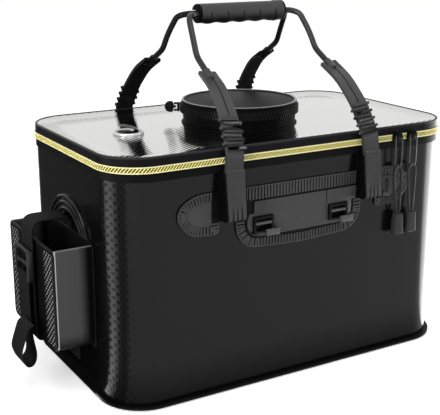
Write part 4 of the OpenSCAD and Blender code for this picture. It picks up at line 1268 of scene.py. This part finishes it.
def paddle():
    """The plate's rings, each at its distance from the pin.

    The half height is 1.5 mm at the root. Past it, it is 2 + 5.5 times the root of a share that
    grows over 2 mm, times the root of 1 - t squared, where t runs from 7.2 mm over 7.5 mm.
    """
    along = np.concatenate([[-0.6], np.linspace(-0.3, PADDLE_ROOT, 4), np.linspace(3.0, 14.6, 30)])
    grown = np.clip((along - PADDLE_ROOT) / 2.0, 0, 1)
    end = np.sqrt(np.clip(1 - np.clip((along - 7.2) / 7.5, 0, 1) ** 2, 0.004, 1))
    half_height = np.where(along < PADDLE_ROOT, 1.5, (2.0 + 5.5 * np.sqrt(grown)) * end)
    box_x, box_z = soft_box(28, 0.5)
    outward = np.array([math.cos(PADDLE_ANGLE), math.sin(PADDLE_ANGLE), 0])
    pin = PADDLE_REACH * outward + [0, 0, PADDLE_Z]
    beside = np.array([-outward[1], outward[0], 0])
    rings = []
    for place, half in zip(along, half_height):
        thick = 0.7 if place < PADDLE_ROOT else 1.2 * min(1.0, 0.45 + half / 6)
        section = np.outer(thick * box_x, beside) + np.outer(half * box_z, [0, 0, 1])
        rings.append(pin + place * outward + section)
    return surface("port_paddle", np.array(rings) * MM, caps=True)


finish_piece(paddle(), "rubber", "black_vinyl", "port_zip_pull", "port_pull")

# %% [markdown]
# ## Webbing
#
# The strap goes over the pocket, through the ladder buckle and under to the wall, and its tail
# hangs in a loop. Webbing is a flat band with soft edges, so its section is a long thin box
# with round ends, carried along a path in the plane across the bucket.

# %% webbing
WEB_W, WEB_T = 38.0, 1.6
WALL_X = -247.0
STRAP_X = -302.9


def webbing(name, corners, body, node, wander=0.0):
    """Band along a path in x and z, whose free end drifts sideways by wander.

    The drift is wander times t squared times (3 - 2 t), where t grows from 0 to 1 over the
    run from 42 to 72 percent.
    """
    path = eased(resample(rounded_path(corners, 10), 2.5), 2)
    run = run_along(path)
    along = np.gradient(path, axis=0)
    along /= np.linalg.norm(along, axis=1, keepdims=True)
    across = np.stack([-along[:, 1], along[:, 0]], -1)
    edge = np.linspace(-math.pi / 2, math.pi / 2, 5)
    half_w, half_t = WEB_W / 2 - WEB_T / 2, WEB_T / 2
    flat = np.linspace(-half_w, half_w, 9)[1:-1]
    right = np.column_stack([half_w + half_t * np.cos(edge), half_t * np.sin(edge)])
    section = np.vstack([right, np.column_stack([flat[::-1], np.full(7, half_t)]), -right,
                         np.column_stack([flat, np.full(7, -half_t)])])
    late = np.clip((run / run[-1] - 0.42) / 0.3, 0, 1)
    sway = wander * late * late * (3 - 2 * late)
    rings = []
    for point, normal, shift in zip(path, across, sway):
        place = point + np.outer(section[:, 1], normal)
        rings.append(ring(place[:, 0], section[:, 0] + shift, place[:, 1]))
    u = np.append(section[:, 0], section[0, 0]) * MM
    band = surface(name, np.array(rings) * MM, caps=True, u_run=u, v_run=run * MM)
    finish_piece(band, "webbing", "webbing", body, node)


BAND_PATH = [[-251.8, 200, 0], [-251.8, 215.5, 5], [STRAP_X + 1, 215.5, 12], [STRAP_X, 63, 6],
             [WALL_X - 0.8, 56, 5], [WALL_X - 0.8, 24, 0]]
TAIL_PATH = [[-309.9, 152, 0], [-309.9, 96, 60], [-307.5, 50, 14], [-319.0, 24, 9],
             [-332.0, 58, 18], [-321.0, 90, 8], [-313.5, 93, 0]]
webbing("strap_band", BAND_PATH, "root", "pocket_strap")
webbing("strap_end", TAIL_PATH, "root", "strap_tail", wander=-22.0)

# %% [markdown]
# ## The pocket's net
#
# The outer face of the pocket is an open net. A sheet with real holes is a grid of cells, each
# with an eight-sided hole: the ring between a cell's square and its hole is eight quads on each
# face, and a strip of quads lines the hole.

# %% net
NET_W, NET_H = 150.0, 128.0
NET_PITCH = 3.8
NET_HOLE = 1.15
NET_T = 1.2
WELD = 1e-5


def net_cells(width, height, x_out, z_low):
    """Points and faces of a sheet of square cells with eight-sided holes, thick along X.

    A cell has 32 points: a square and a hole on each of the two faces, 8 points each.
    """
    across, up = int(width // NET_PITCH), int(height // NET_PITCH)
    step_y, step_z = width / across, height / up
    square = np.array([(1, 0), (1, 1), (0, 1), (-1, 1), (-1, 0), (-1, -1), (0, -1), (1, -1)]) / 2.0
    hole = NET_HOLE * circle(np.arange(8) * math.pi / 4)
    frame_2d = np.vstack([square * [step_y, step_z], hole])
    both = np.vstack([ring(x, *frame_2d.T) for x in (x_out, x_out + NET_T)])
    j, k = (index.ravel() for index in np.indices((across, up)))
    y, z = -width / 2 + (j + 0.5) * step_y, z_low + (k + 0.5) * step_z
    middle = ring(0.0, y, z)
    points = (middle[:, None, :] + both[None]).reshape(-1, 3)
    n = np.arange(8)
    m = (n + 1) % 8
    front = np.stack([n, n + 8, m + 8, m], -1)
    back = np.stack([16 + n, 16 + m, 24 + m, 24 + n], -1)
    lining = np.stack([n + 8, 24 + n, 24 + m, m + 8], -1)
    cell = np.vstack([front, back, lining])
    faces = (np.arange(len(middle))[:, None, None] * 32 + cell[None]).reshape(-1, 4)
    return points, faces


def net_panel():
    """The net as one mesh, inside its binding by NET_EDGE, with the cells' shared points merged."""
    low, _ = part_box("pocket_mesh")
    width, height = NET_W - 2 * NET_EDGE, NET_H - 2 * NET_EDGE
    points, faces = net_cells(width, height, low.x / MM + 0.1, low.z / MM + NET_EDGE)
    mesh = bpy.data.meshes.new("pocket_net")
    mesh.from_pydata((points * MM).tolist(), [], faces.tolist())
    build = bmesh.new()
    build.from_mesh(mesh)
    bmesh.ops.remove_doubles(build, verts=build.verts, dist=WELD)
    build.to_mesh(mesh)
    build.free()
    piece = scene_object("pocket_net", mesh)
    finish_piece(piece, "net", "mesh_black", "root", "pocket_mesh")


def net_binding():
    """Round binding sewn along the net's edge: a tube round its four sides."""
    low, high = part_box("pocket_mesh")
    inset, low_r, high_r = 2.2, 6.0, 2
    y, z0, z1 = NET_W / 2 - inset, low.z / MM + inset, high.z / MM - inset
    corners = [[0.0, z1, 0], [y, z1, high_r], [y, z0, low_r], [-y, z0, low_r], [-y, z1, high_r],
               [0.0, z1, 0]]
    loop = resample(rounded_path(corners, 8), 3.0)[:-1]
    path = ring(low.x / MM + 1.6, *loop.T) * MM
    tube = surface("pocket_binding", tube_grid(path, 2.3 * MM, 12, closed=True), wrap_rows=True)
    finish_piece(tube, "rubber", "mesh_black", "root", "pocket_mesh")


net_panel()
net_binding()
